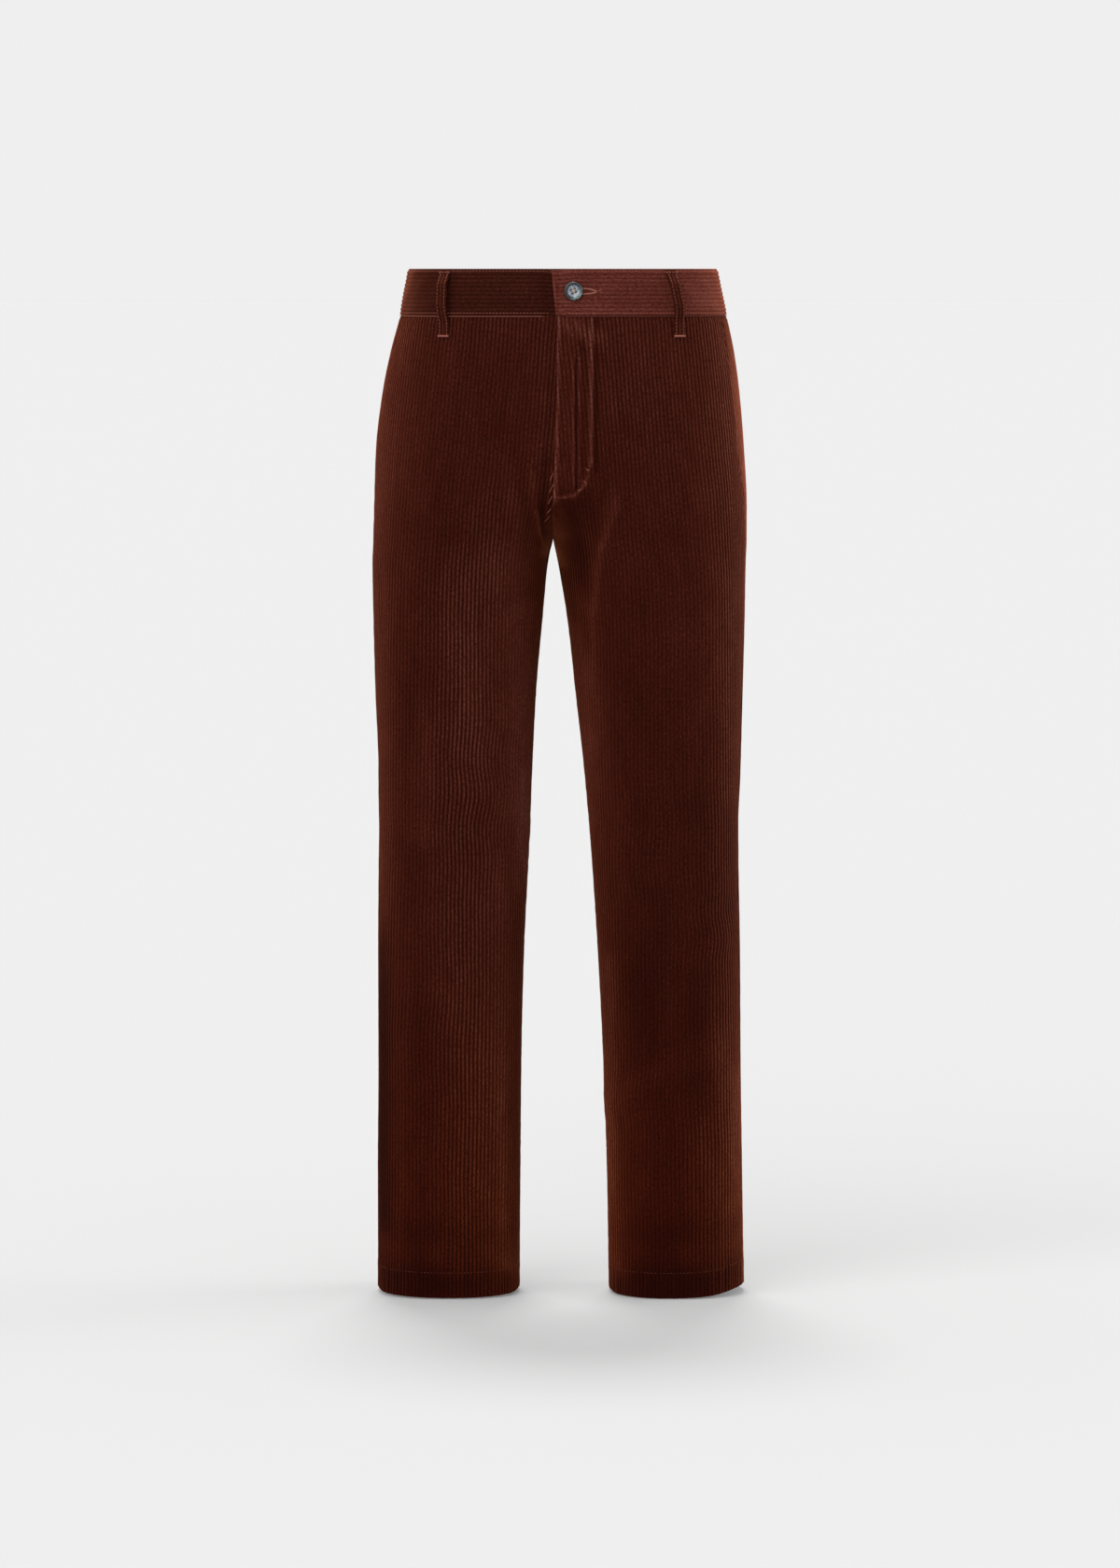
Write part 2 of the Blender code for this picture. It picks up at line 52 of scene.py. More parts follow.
# Sections across the solids, from the waist down, in millimetres. Only crown is a share of a panel's width.
COLUMNS = (
    "height", "right_outer", "right_inner", "left_inner", "left_outer", "centre_front", "centre_back",
    "front", "back", "middle", "crown", "right_seam", "left_seam", "front_grain", "back_grain",
)
SECTIONS = (
    (0, -155.0, None, None, 157.0, -5, 0, 100, 112, 0, 0.12, 34, 40, 80, 66),
    (-47, -163.5, None, None, 166.4, -5, 0, 104, 118, 0, 0.16, 34, 42, 85, 70),
    (-83, -173.0, None, None, 174.0, -5, -1, 107, 125, 0, 0.21, 33, 48, 88, 76),
    (-125, -181.5, None, None, 179.7, -5, -2, 109, 131, 0, 0.28, 30, 54, 92, 83),
    (-183, -188.3, None, None, 184.5, -7, -5, 109, 133, 0, 0.37, 24, 52, 97, 92),
    (-240, -190.2, None, None, 187.3, -9, -8, 105, 128, 0, 0.46, 20, 38, 102, 99),
    (-273, -191.1, -9.0, -9.0, 187.3, -9, -9, 101, 121, 0, 0.50, 20, 32, 104, 103),
    (-297, -192.0, -14.3, -3.8, 186.4, None, None, 98, 115, -1, 0.50, 20, 28, 106, 105),
    (-354, -191.1, -20.0, 5.7, 185.4, None, None, 92, 105, -3, 0.50, 20, 26, 108, 108),
    (-430, -189.2, -26.6, 14.3, 183.5, None, None, 85, 95, -4, 0.50, 20, 24, 109, 109),
    (-506, -186.4, -30.4, 22.8, 181.6, None, None, 79, 87, -4, 0.50, 20, 24, 110, 110),
    (-582, -186.4, -33.3, 29.5, 179.7, None, None, 75, 80, -2, 0.50, 20, 22, 111, 111),
    (-696, -187.3, -39.0, 37.1, 181.6, None, None, 70, 73, 2, 0.50, 20, 20, 113, 113),
    (-810, -187.3, -41.8, 42.8, 182.6, None, None, 67, 69, 5, 0.50, 20, 20, 114, 114),
    (-924, -188.3, -42.8, 46.6, 184.5, None, None, 65, 66, 8, 0.50, 20, 20, 115, 115),
    (-1040, -188.3, -43.7, 48.5, 186.4, None, None, 63, 65, 10, 0.50, 20, 20, 116, 116),
)
FULLNESS = {FRONT: 2.5, BACK: 2.25}  # powers of the plan's rounding: more is squarer
CROTCH_RADIUS = {FRONT: 0.065, BACK: 0.095}  # the plan opens over this height above the crotch
FLATTEST = 0.05  # until it curves back by no more than this share
DENSE = 160  # points in each quarter of a plan

FLY_UNDERLAP = 0.012  # how far the right front runs on under the left one
FLY_STEP = 0.0028  # how far it dips to do so
FLY_EASE = 0.014  # so far from its edge the dip begins
FLY_RAMP = 0.0098  # and over this it is reached
FLY_FADE = 0.015  # it is gone so far below the fly

BAND_THICKNESS = 0.0030
BAND_PROUD = 0.0006
BAND_LAP = {LEFT: (0.0055, 0.0012), RIGHT: (0.030, 0.030)}  # past the front's middle, at its top and its seam
BAND_STEP = 0.0040  # its right half dips under the left one as the fly does
BAND_EASE = 0.020
BAND_RAMP = 0.012

# Name, face and place across
LOOPS = (
    ("loop_front_left", FRONT, 0.1135),
    ("loop_front_right", FRONT, -0.1165),
    ("loop_back_left", BACK, 0.1020),
    ("loop_back_right", BACK, -0.1020),
    ("loop_back_centre", BACK, 0.0),
)
LOOP_WIDTH = 0.0115
LOOP_THICKNESS = 0.0022
LOOP_SLACK = 0.0064
LOOP_STEP = 0.006  # over this height below the band it comes down to the panel
# Its run down: height in millimetres, and how much of the slack it stands off there
LOOP_PATH = ((-1, 0), (-5, 0.1), (-10, 0.55), (-17, 1), (-34, 1), (-44, 0.6), (-51, 0.12), (-56, 0), (-67, 0))

BUTTON_CENTRE = (0.0116, -0.0220)
BUTTON_HOLE_RADIUS = 0.0009
BUTTON_HOLE_SPREAD = 0.0024
BUTTON_HOLE_TURN = math.radians(20)
BUTTON_SHANK = 0.0004

# ---------------------------------------------------------------- strokes on the cloth, in millimetres
# Folds: a line across the front view from its upper to its lower end (x, z, x, z), how wide the fold is on
# either side of that line, and how far it stands out (or in, where negative)
FOLDS = {
    (LEFT, FRONT): (
        # those of the solids
        (22, -235, 38, -390, 17, -3.2), (52, -236, 30, -330, 12, 1.6), (120, -790, 60, -840, 18, 1.6),
        # the crotch, the fly and the thighs in front
        (12, -246, 30, -318, 8, -1.8), (55, -232, 41, -278, 5, 1.3), (41, -278, 31, -345, 4.5, 1.5),
        (31, -345, 31, -418, 4.5, 1.2), (12, -100, 12.5, -215, 1.5, 0.8),
        (15.4, -100, 15.6, -215, 1.3, 0.6), (29.5, -52, 29.5, -196, 1.7, 1.2),
        (33.5, -52, 33.5, -196, 2.4, -0.9), (22, -80, 21, -200, 3.2, -0.6), (5, -70, 3, -200, 3.4, 0.6),
        (26, -202, 20, -220, 2.6, 0.9), (4, -52, 12, -72, 2.2, -0.7), (18, -50, 22, -74, 2.4, -0.8),
        (25, -50, 27, -66, 2, 0.7), (2, -110, 14, -150, 5, -0.6), (62, -150, 44, -232, 8, -0.8),
        # the knees and shins in front
        (176, -640, 138, -672, 7, -1.1), (178, -672, 130, -700, 7, 1), (150, -520, 96, -560, 10, -0.9),
        (60, -560, 96, -610, 9, 0.8), (118, -600, 70, -650, 9, -0.9), (130, -770, 70, -812, 9, -0.8),
        (66, -900, 104, -945, 9, 0.7),
    ),
    (RIGHT, FRONT): (
        # those of the solids
        (-24, -225, -17, -290, 14, -2.2), (-150, -400, -148, -640, 16, -2),
        (-66, -470, -52, -600, 14, -1.6),
        # the crotch, the fly and the thighs in front
        (-16, -196, -14, -262, 7, -1.6), (-30, -200, -26, -246, 4, 1.3), (-26.5, -244, -18, -280, 2.6, 1.3),
        (-21, -240, -15.5, -264, 3.2, -2), (-46, -150, -34, -212, 9, 0.9), (-60, -190, -36, -250, 9, -0.9),
        # the knees and shins in front
        (-96, -478, -44, -520, 7, -1.1), (-104, -520, -40, -566, 8, 1), (-84, -566, -38, -596, 7, -1),
        (-178, -560, -140, -600, 9, -0.9), (-172, -700, -120, -735, 10, 0.8),
        (-120, -840, -70, -880, 10, -0.8),
    ),
    (LEFT, BACK): (
        (45, -250, 60, -380, 24, -3.5), (150, -560, 90, -600, 20, -2.2), (20, -262, 70, -296, 9, -1.6),
        (24, -300, 82, -330, 8, 1.1), (96, -80, 66, -170, 14, -1), (60, -545, 130, -575, 8, -1.3),
        (62, -590, 138, -628, 8, 1.1), (70, -636, 120, -660, 7, -1), (80, -850, 120, -900, 10, -0.8),
    ),
    (RIGHT, BACK): (
        (-60, -250, -72, -370, 24, -3.5), (-155, -575, -95, -610, 20, -2.2),
        (-38, -266, -88, -300, 9, -1.5), (-42, -306, -96, -332, 8, 1.1), (-92, -84, -60, -176, 14, -1),
        (-66, -552, -136, -584, 8, -1.3), (-70, -598, -146, -630, 8, 1.1), (-74, -644, -128, -672, 7, -1),
        (-86, -820, -130, -880, 10, -0.8),
    ),
}
FOLD_FADE = 0.5  # how soon a stroke dies away past its ends
# Where the pile's colour is painted lighter or darker: its nap laid another way, painted shade in creases,
# troughs and the crotch, painted highlights on ridges, fold lips and the fly's edge, and darker along the
# hems. Laid out as the folds, with a share of the colour for the height
PAINTED_NAP_AND_SHADE = {
    (RIGHT, FRONT): (
        # the crotch and the fly
        (-17, -196, -14, -270, 7.5, -0.3), (-30, -205, -26, -244, 3, 0.35),
        (-25.5, -244, -17.5, -279, 1.5, 0.75), (-19.5, -238, -13, -276, 4.2, -0.5),
        (-62, -190, -40, -262, 9, 0.22), (-12, -200, -14, -250, 3.4, 0.35),
        (-13, -276, -20, -330, 8, -0.25),
        # hips and thighs
        (-92, -60, -60, -150, 22, -0.12), (-165, -60, -182, -230, 14, 0.3), (-50, -300, -45, -540, 22, 0.6),
        (-100, -330, -85, -480, 30, 0.2), (-158, -50, -164, -200, 15, 0.28),
        (-176, -100, -185, -260, 10, 0.22), (-28, -180, -27, -215, 8, 0.22),
        (-46, -345, -44, -620, 9, 0.42),
        # knees
        (-140, -470, -142, -560, 15, 0.42), (-33, -345, -40, -620, 8, 0.45),
        (-142, -710, -140, -790, 16, -0.14), (-180, -120, -178, -640, 9, 0.36),
        (-38, -505, -37, -604, 5, 1),
        # shins and hems
        (-60, -600, -58, -1016, 17, 0.5), (-150, -760, -150, -1016, 22, -0.22),
        (-186, -690, -186, -960, 13, -0.85), (-46, -1000, -46, -1040, 8, 0.45),
        (-170, -1026, -60, -1026, 22, -0.66), (-160, -974, -70, -980, 15, -0.24),
        (-61, -800, -60, -965, 4, 0.5), (-57, -1009, -46, -1016, 6, 0.9), (-60, -620, -57, -1000, 9, 0.18),
        (-38, -400, -41, -560, 9, 0.22),
    ),
    (LEFT, FRONT): (
        # the crotch and the fly
        (6, -244, 16, -300, 13, -0.42), (27, -236, 32, -300, 11, -0.2), (14, -300, 26, -380, 11, -0.3),
        (1, -285, 8, -345, 5.5, -0.5), (55, -235, 40, -280, 4, 0.4), (40, -280, 31, -345, 3.6, 0.42),
        (31, -345, 31, -416, 3.4, 0.4), (-3.6, -48, -5.4, -173, 2.2, 2), (-5.8, -173, -7.6, -232, 2.4, 2.4),
        (13, -52, 13, -212, 12, 0.15), (11.2, -90, 11.6, -218, 1.4, 1.05), (16.8, -90, 17, -214, 1.3, 0.95),
        (14, -90, 14.3, -220, 1.5, -1.1), (22, -70, 21, -205, 3, -0.25), (29.5, -50, 29.3, -196, 2, 1.5),
        (28.8, -190, 23.6, -214, 1.7, 0.9), (23.6, -214, 12, -226, 1.9, 1.7),
        (12, -226, -6, -228.5, 1.6, 1.3), (34.2, -52, 34, -200, 2.6, -0.55), (4, -54, 28, -66, 9, 0.95),
        (8, -52, 20, -80, 1.6, -0.55), (3, -52, 10, -66, 1.5, 0.8), (13, -51, 19, -66, 1.4, 0.8),
        (20, -52, 26, -76, 1.4, 0.55), (25, -54, 29, -82, 1.2, -0.5),
        # hips and thighs
        (172, -60, 184, -230, 12, 0.35), (155, -50, 160, -150, 14, 0.25), (134, -240, 136, -440, 34, 0.2),
        # knees
        (16, -370, 27, -500, 7, 0.45), (27, -470, 31, -560, 6, 0.45), (150, -560, 150, -830, 20, -0.24),
        (90, -440, 104, -1016, 38, -0.28), (62, -829, 146, -798, 13, 0.2), (27, -300, 38, -520, 9, 0.38),
        (96, -510, 100, -600, 18, 0.22),
        # shins and hems
        (47, -700, 50, -1016, 8, 0.5), (44, -800, 48, -920, 7, 0.6), (78, -720, 80, -815, 24, -0.24),
        (132, -720, 134, -815, 14, -0.24), (182, -830, 182, -950, 12, 0.85),
        (178, -570, 178, -690, 10, -0.2), (180, -780, 178, -990, 10, 0.45),
        (168, -300, 172, -520, 14, 0.22), (60, -1026, 165, -1026, 22, -0.64),
        (75, -976, 160, -976, 15, -0.22), (22, -345, 30, -480, 8, 0.2), (50, -850, 52, -960, 8, 0.45),
        (160, -775, 164, -835, 9, 0.35), (158, -350, 160, -440, 10, 0.18), (58, -1010, 62, -1016, 7, 0.45),
    ),
    (LEFT, BACK): (
        (100, -110, 92, -210, 34, 0.16), (70, -300, 76, -480, 26, -0.14), (84, -700, 88, -960, 22, 0.18),
    ),
    (RIGHT, BACK): (
        (-96, -110, -90, -210, 34, 0.16), (-86, -310, -80, -480, 26, -0.14),
        (-92, -690, -90, -950, 22, 0.18),
    ),
}
# Where the cords stand out more crisply from their grooves, in relief and in the painted shade of their
# grooves, laid out the same way
CRISP = {
    (RIGHT, FRONT): (
        (-100, -330, -86, -1020, 34, 0.68), (-66, -250, -80, -330, 26, 0.35),
        (-165, -50, -60, -50, 30, 0.3), (-15, -50, -15, -260, 12, 0.32), (-186, -100, -186, -600, 8, 0.3),
        (-18, -246, -14, -280, 7, -1),
    ),
    (LEFT, FRONT): (
        (60, -60, 170, -60, 62, 0.32), (80, -150, 170, -200, 50, 0.22), (176, -60, 180, -1020, 20, 0.66),
        (12, -48, 12, -216, 13, -0.06), (0, -240, 2, -285, 8, -0.8), (50, -700, 52, -1020, 10, 0.4),
        (160, -560, 162, -1020, 24, 0.25), (145, -880, 145, -1000, 20, 0.35),
    ),
    (LEFT, BACK): (
        (100, -330, 92, -1020, 40, 0.45), (40, -60, 150, -60, 50, 0.28), (184, -60, 186, -1020, 16, 0.5),
    ),
    (RIGHT, BACK): (
        (-76, -300, -84, -1020, 36, 0.5), (-150, -60, -40, -60, 50, 0.28),
    ),
}
SOFT = 0.30  # how crisp the cords are away from all of those, where the pile hides them
# Beside the side seams the cloth gleams at its grazing edge: from, to, share of the colour, which paints that
# gleam in as a highlight and paints shade where it is negative, and share of sheen
SIDE_PAINTED_GLEAM = {
    (LEFT, BACK): ((-70, -345, 1.9, 0.64), (-830, -1060, 1.3, 0.45)),
    (LEFT, FRONT): ((-70, -345, 0.15, 0.12),),
    (RIGHT, BACK): ((-90, -260, 0.4, 0.2), (-690, -1060, -0.15, -0.12)),
    (RIGHT, FRONT): ((-680, -1060, 0, -0.26),),
}
# How far the hems hang below the level (above it, where negative): middle across, half width, drop
HEM_DROPS = {
    LEFT: ((100, 90, 4.9), (190, 26, -6.0), (47, 5, -2.8)),
    RIGHT: ((-113, 100, 4.4), (-190, 5, -2.6), (-42, 5, -2.8)),
}
# Where the cords wander sideways: middle across and up, half sizes, wavelength down the leg and how far
SWAYS = {
    (LEFT, FRONT): ((150, -670, 40, 50, 60, 1.6), (90, -590, 60, 80, 105, 1.4), (100, -840, 60, 70, 96, 1.3)),
    (LEFT, BACK): ((95, -595, 70, 70, 70, 2.0),),
    (RIGHT, FRONT): ((-66, -530, 52, 75, 78, 2.2), (-130, -760, 60, 110, 150, 1.2)),
    (RIGHT, BACK): ((-100, -605, 70, 70, 74, 2.0),),
}
# Where the band's colour is painted lighter or darker: painted highlights where it turns away at the hips and
# along the overlap's edge, painted shade beside that edge. Middle across and up, half sizes, share
BAND_PAINTED_LIGHT = {
    LEFT: (
        (156, -24, 24, 26, 0.38), (30, -40, 30, 8, 0.22), (3, -24, 4, 26, 0.20),
        (-8.4, -24, 1.7, 26, 0.35), (-4.8, -24, 1.5, 26, -0.22), (-1.0, -24, 1.5, 26, 0.22),
    ),
    RIGHT: (
        (-158, -12, 9, 13, 1.1), (-150, -40, 9, 6, 0.4), (-60, -24, 60, 16, 0.06), (-16, -24, 14, 26, -0.14),
    ),
}
# The rows of the panels' shells: their spans' ends, and how far apart the rows are in each span
ROW_SPANS = (-47.15, -74, -186, -280, -1010, -1040)
ROWS_APART = {FRONT: (2.7, 5.6, 2.35, 5.6, 2.5), BACK: (4.5, 5.6, 3.1, 6.0, 3.0)}

# ---------------------------------------------------------------- the cloth, in metres
GLEAM_REACH = {FRONT: 0.055, BACK: 0.085}  # from the side seam
GLEAM_FADE = 0.050
GLEAM_TAPER = 0.140  # along it
FOLD_PAINTED_SHADE = 60  # painted shade: how much a fold's height lightens the pile's colour on its ridges and darkens it in its troughs
EDGE_PAINTED_SHADE = ((0.0013, 0.55), (0.0045, -0.22))  # reach and share: lighter right at the edge, then painted shade in the seam's dip beside it
SHADE_LIMITS = (0.3, 3.4)
HEM_DROP_FROM = -0.90  # where the cloth starts to hang out of level
# How the cords wander everywhere: how far, wavelengths down and across, phase
WANDER = ((0.0005, 0.31, 0.21, 0.3), (0.0002, 0.113, 0.13, 1.9), (0.00012, 0.047, 0.06, 4.0))

# Puckers along the seams: how deep, how far they reach in, how long a wave is and how much it slants
Pucker = namedtuple("Pucker", "depth reach wave slant")
SIDE_PUCKER = Pucker(0.00030, 0.011, 0.024, 0.6)
INSEAM_PUCKER = Pucker(0.00035, 0.010, 0.021, 0.8)
CENTRE_PUCKER = Pucker(0.00060, 0.0065, 0.0094, 1.5)
HEM_PUCKER = Pucker(0.00042, 0.011, 0.0125, 1.1)
BAND_PUCKER = Pucker(0.00050, 0.012, 0.0115, 0.4)
PUCKER_SWELL, PUCKER_SWELL_WAVES = 0.35, 5.3  # a row of puckers swells and fades over so many waves
PUCKER_SHIFT, PUCKER_SHIFT_WAVES = 0.9, 3.1  # and its waves shift to and fro
SIDE_PHASE, FACE_PHASE = 1.3, 2.1  # so that no two seams pucker alike
SEAM_ROLL = 0.0011  # how far an edge turns in at a seam
SEAM_ROLL_REACH = 0.0014
FLY_ROLL = 0.0007  # and at the fly's folded edge
SEAM_HOLD = 0.0026  # how near a centre seam or inseam the cloth is drawn to the seam's place
SEAM_LAP = 0.00003  # how far a piece's cloth runs past its seam, so that no light comes through

# Where a cord is cut across: shares of a pitch from its groove
WALE_CUTS = {FRONT: (0.0, 0.13, 0.31, 0.5, 0.69, 0.87), BACK: (0.0, 0.16, 0.38, 0.62, 0.84)}
WALE_ROUND = 0.7  # the power of the sine that shapes a cord: less is fuller
INNER_COLUMNS = 58
LEVEL = 1e-9  # points of two rows closer than this lie level, whatever their last digits
PLAIN_PILE = (1.0, 0.5, 0.0)  # painted lightness, crispness, more sheen
LINING = -1.0  # stands for the height of a cord on the plain inside
SHARP_CLOTH = math.radians(80)
SHARP_HORN = math.radians(50)

# ---------------------------------------------------------------- waistband and loops, in metres
BAND_DIP, BAND_DIP_AT, BAND_DIP_WIDTH = 0.0016, -0.004, 0.010  # how its top sags where the ends overlap
BAND_EDGE_ROLL = 0.0009
BAND_EDGE_REACH = 0.0012
BAND_TOP_ROUND = 0.0013
BAND_TOP_STEPS = 6
BAND_TOP_CLEAR = 0.0002  # the cords end so far below the rounded top
BAND_INSIDE_STEPS = 4
BAND_COLUMN = 0.0032
BAND_END_CUTS = (0.0, 0.0004, 0.0009, 0.0016)  # columns close to the band's ends, where its edge rolls in
BAND_CRISP = {LEFT: 0.30, RIGHT: 0.45}
BAND_STITCHES = (-0.0021, -0.0441)  # rows along the band's top and just above its seam
# Soft waves round the band: depth, length round and up it, how the side shifts them, phase
BAND_WAVES = ((0.00022, 0.061, 0.09, 1, 0), (0.00016, 0.027, -0.05, 0, 2))

LOOP_SECTIONS = 64
LOOP_CORDS = 3
LOOP_CORD_CUTS = 6
LOOP_CORD_RELIEF = 0.8 * WALE_RELIEF
LOOP_EDGE = 0.0008
LOOP_STITCH_ROWS = (-0.34, 0.34)  # shares of the width
# A slanting loop's x at its lower end and how far its top is shifted, from so far below the waist on
LOOP_LEAN = {"loop_front_left": (0.1168, -0.0085), "loop_front_right": (-0.1175, 0.0018)}
LOOP_LEAN_FROM = 0.060

# ---------------------------------------------------------------- sewing, in metres
STITCH_LENGTH = 0.0027
STITCH_PITCH = 0.0034
STITCH_SINK = 0.00035
STITCH_SINK_REACH = 0.0009
STITCH_START = 0.3  # the first stitch starts at this share of the pitch
THREAD = 0.00030  # radius
TACK_THREAD, HOLE_THREAD, BAND_THREAD, STRAND = 1.15 * THREAD, 0.9 * THREAD, 0.85 * THREAD, 0.6 * THREAD
STRANDS = (-0.4, 0.4)  # where a fly thread's two strands lie, in radii
RING_SIDES = 6
# A stitch's rings: share of its length, of its radius, and how far it bows out, in radii
STITCH_RINGS = ((0.0, 0.35, -0.8), (0.14, 0.9, 0.2), (0.5, 1.0, 0.75), (0.86, 0.9, 0.2), (1.0, 0.35, -0.8))
TACK_HEIGHT = 0.0024
TACK_THREADS = 17
LOOP_TACKS = ((0, 0.0026), (-1, 0.0))  # at the strap's upper and lower end, how far below it
PANEL_LIFT = -0.00005
HEM_STITCH = HEM_FOLD + 0.0015
SEAM_THREAD = {"pitch": 0.0022, "length": 0.0024, "radius": 0.00036}
SEAM_THREAD_DROP = 0.0004
SEAM_THREAD_OUT = -0.0004
PATH_STEP = 0.001

# In millimetres: the fly's row of stitches, down from the band and round to its edge, and its single threads
FLY_STITCHES = (
    (29.8, -49), (30.2, -110), (29.7, -165), (28.8, -190), (27.0, -204), (24.0, -213.5),
    (18.7, -221.5), (12.2, -225.5), (3.7, -228.3), (-6.6, -228.8),
)
FLY_TACKS = {
    LEFT: (
        ((24.0, -199.5), (27.6, -201)), ((21.6, -211.4), (24.0, -213.2)), ((16.0, -221.8), (19.4, -219.4)),
        ((2.2, -227.2), (4.6, -228.6)), ((-7.0, -221), (-7.2, -229)),
    ),
    RIGHT: (
        ((-8.6, -203), (-12.0, -211.5)), ((-8.4, -214.3), (-12.4, -224)), ((-9.2, -226.5), (-13.0, -235)),
        ((-10.0, -237.6), (-13.8, -245)), ((-11.4, -247), (-14.8, -253.5)),
    ),
}
# The upright row and the box at the band's front end: how far in, height, and how many points between
BAND_END_ROWS = (
    ((2.2, -3), (2.2, -45.5), 44), ((2.2, -32.5), (8.5, -32.5), 12), ((8.5, -32.5), (8.5, -44.5), 12),
)
# The buttonhole behind the button, in the front view: its two edges and the loose thread's end
BUTTONHOLE = (((21.0, -19.4), (28.0, -20.4), (34.6, -22.4)), ((21.0, -25.3), (28.5, -24.6), (34.0, -23.4)))
BUTTONHOLE_TAIL = ((33.0, -23.2), (36.5, -22.0), (40.6, -20.8))
BUTTONHOLE_HALF = 0.75 * MM  # half a stitch's length across its edge
BUTTONHOLE_APART, BUTTONHOLE_LIFT, BUTTONHOLE_TAIL_LIFT = 0.0006, 0.00045, 0.0007
TAIL_THREAD = {"pitch": 0.0016, "length": 0.0019, "radius": THREAD * 0.7}

# Half the button's outline, in millimetres, from the middle of its dished top over the rim to its back
BUTTON_PROFILE = (
    (0, 1.95), (2.6, 1.98), (4.6, 2.15), (5.6, 2.5), (6.2, 3.0), (6.8, 3.35), (7.5, 3.52), (8.2, 3.5),
    (8.8, 3.25), (9.15, 2.8), (9.2, 2.2), (9.1, 1.6), (8.6, 0.9), (7.6, 0.45), (6.0, 0.4), (0, 0.4),
)
BUTTON_STEPS = 96
DRILL_SIDES, DRILL_DEPTH = 28, 0.01
BUTTON_THREAD = 0.00021
BUTTON_THREADS_APART = 1.2 * BUTTON_THREAD
BUTTON_THREADS_MEET = 0.6  # they lie closer in the holes, by this share
BUTTON_THREAD_TOP = 0.0025
BUTTON_THREAD_DIP = 0.0012
BUTTON_STRANDS = ((0, 2, 0.0), (1, 3, 0.0005))  # from hole, to hole, how far it passes over the other

# ---------------------------------------------------------------- colours
# The pile: its grooves, the cords' sides and crests, darker to lighter, partly the weave between the cords
# and partly painted shade in the grooves and painted highlight on the crests; and how much it gleams
PILES = {
    "corduroy": ((0.0140, 0.0013, 0.0005), (0.0265, 0.0035, 0.0017), (0.052, 0.0128, 0.0076), 0.36),
    "corduroy_band_right": ((0.016, 0.0021, 0.001), (0.024, 0.0041, 0.0022), (0.034, 0.0078, 0.0046), 0.33),
    # the band's left half is the same cloth as its right, painted lighter where its nap catches the light
    "corduroy_band_left_painted_light": ((0.042, 0.0070, 0.0044), (0.068, 0.0148, 0.0102), (0.104, 0.030, 0.0215), 0.44),
    "corduroy_loops": ((0.011, 0.0017, 0.0008), (0.024, 0.0038, 0.0018), (0.046, 0.0095, 0.0048), 0.36),
}
# the left half of the band is painted lighter than the right
BAND_PILE = {LEFT: "corduroy_band_left_painted_light", RIGHT: "corduroy_band_right"}
SHEEN = (0.72, 0.17, 0.062)  # the colour of its gleam
CORD_MEAN = 0.72  # height of a cord that its pile hides
CORD_STOPS = (0.28, 0.78, 1.0)  # heights of the groove's, the side's and the crest's colour
WARMER_DOWN = (-3.2, -2.05)  # the pile turns warmer from above the shins down to the hems
WARM = (1.02, 0.80, 0.42)
HUE_BY_SHADE = (0.74, 1.22, 1.50)  # powers of the shade: light pile is greyer, dark pile is redder
TWILL = ((0.2, (0.045, 0.014, 0.009)), (0.8, (0.075, 0.025, 0.016)))
THREADS = {
    "thread": ((0.36, 0.135, 0.10), (0.20, 0.065, 0.046)),
    "thread_dark": ((0.115, 0.030, 0.019), (0.05, 0.013, 0.008)),
    "thread_loops": ((0.30, 0.10, 0.072), (0.14, 0.042, 0.028)),
    "thread_pale": ((0.52, 0.40, 0.28), (0.30, 0.21, 0.14)),
}
# painted shade: the colour of the dish's shaded wall, the rim's darkened edge and the holes
HORN_PAINTED_SHADE = (0.004, 0.006, 0.008)
HORN_RIM = (
    (0.22, (0.003, 0.006, 0.009)), (0.42, (0.012, 0.024, 0.030)),
    (0.58, (0.055, 0.085, 0.090)), (0.82, (0.24, 0.29, 0.26)),
)
HORN_LILAC = ((0.35, (0.075, 0.085, 0.11)), (0.65, (0.24, 0.26, 0.30)))
# How sharply each of these changes with the distance it goes by, and where: slope and start
HORN_DISH = (1800.0, -10.4)  # the dish gives way to the rim
HORN_EDGE = (1300.0, -10.9)  # painted shade darkens the rim outwards
HORN_WALL = (-1500.0, 1.0)  # the dish's shaded wall, around its radius
HORN_WALL_AT = 0.0062
HORN_HOLE = (-2500.0, 3.4)  # painted shade in the holes
# and how the tone, the wall's painted shade and the rim edge's painted shade change from one side of the
# button to the other
HORN_SLANT, HORN_CLOUDS = 26.0, (1.5, -0.42)
HORN_WALL_SLANT = (-70.0, 0.62)
HORN_EDGE_SLANT = (-55.0, 0.75)

# ---------------------------------------------------------------- the studio
# Level with the waist; the pitch and the lens put the waist and the hems where the photograph has them.
CAMERA_X = -0.0019
CAMERA_DISTANCE = 6.6
CAMERA_PITCH = math.radians(4.536)
CAMERA_LENS = 149.1
FLOOR_DROP = 0.0056
FLOOR_SIZE = 400.0
FLOOR_GLOW = 0.17  # the floor is lit from below too, which keeps its shadows light
BACKDROP = 0.863  # linear radiance of the plain pale surroundings
# Name, strength, how wide in degrees, and the direction it shines in
LIGHTS = (
    ("key", 2.4, 60, (0.50, 0.80, -0.55)),
    ("above", 2.4, 18, (0.03, -0.42, -1.0)),
    ("rim", 2.6, 45, (-0.95, -0.16, -0.22)),
)


# ================================================================ the garment's form
def eased(share):
    """0 to 1 and level at both ends."""
    share = np.clip(share, 0, 1)
    return share * share * (3 - 2 * share)


def near(distance, reach):
    """1 where the distance is nothing, dying away over a reach."""
    return np.exp(-((distance / reach) ** 2))


def near_spot(x, z, spot):
    """1 in the middle of a spot, (x, z, half width, half height) in millimetres, dying away around it."""
    middle_x, middle_z, wide, tall = np.array(spot) * MM
    return np.exp(-(((x - middle_x) / wide) ** 2 + ((z - middle_z) / tall) ** 2))


def columns(*values):
    """Points from their parts. A number stands for every point."""
    return np.column_stack(np.broadcast_arrays(*values))


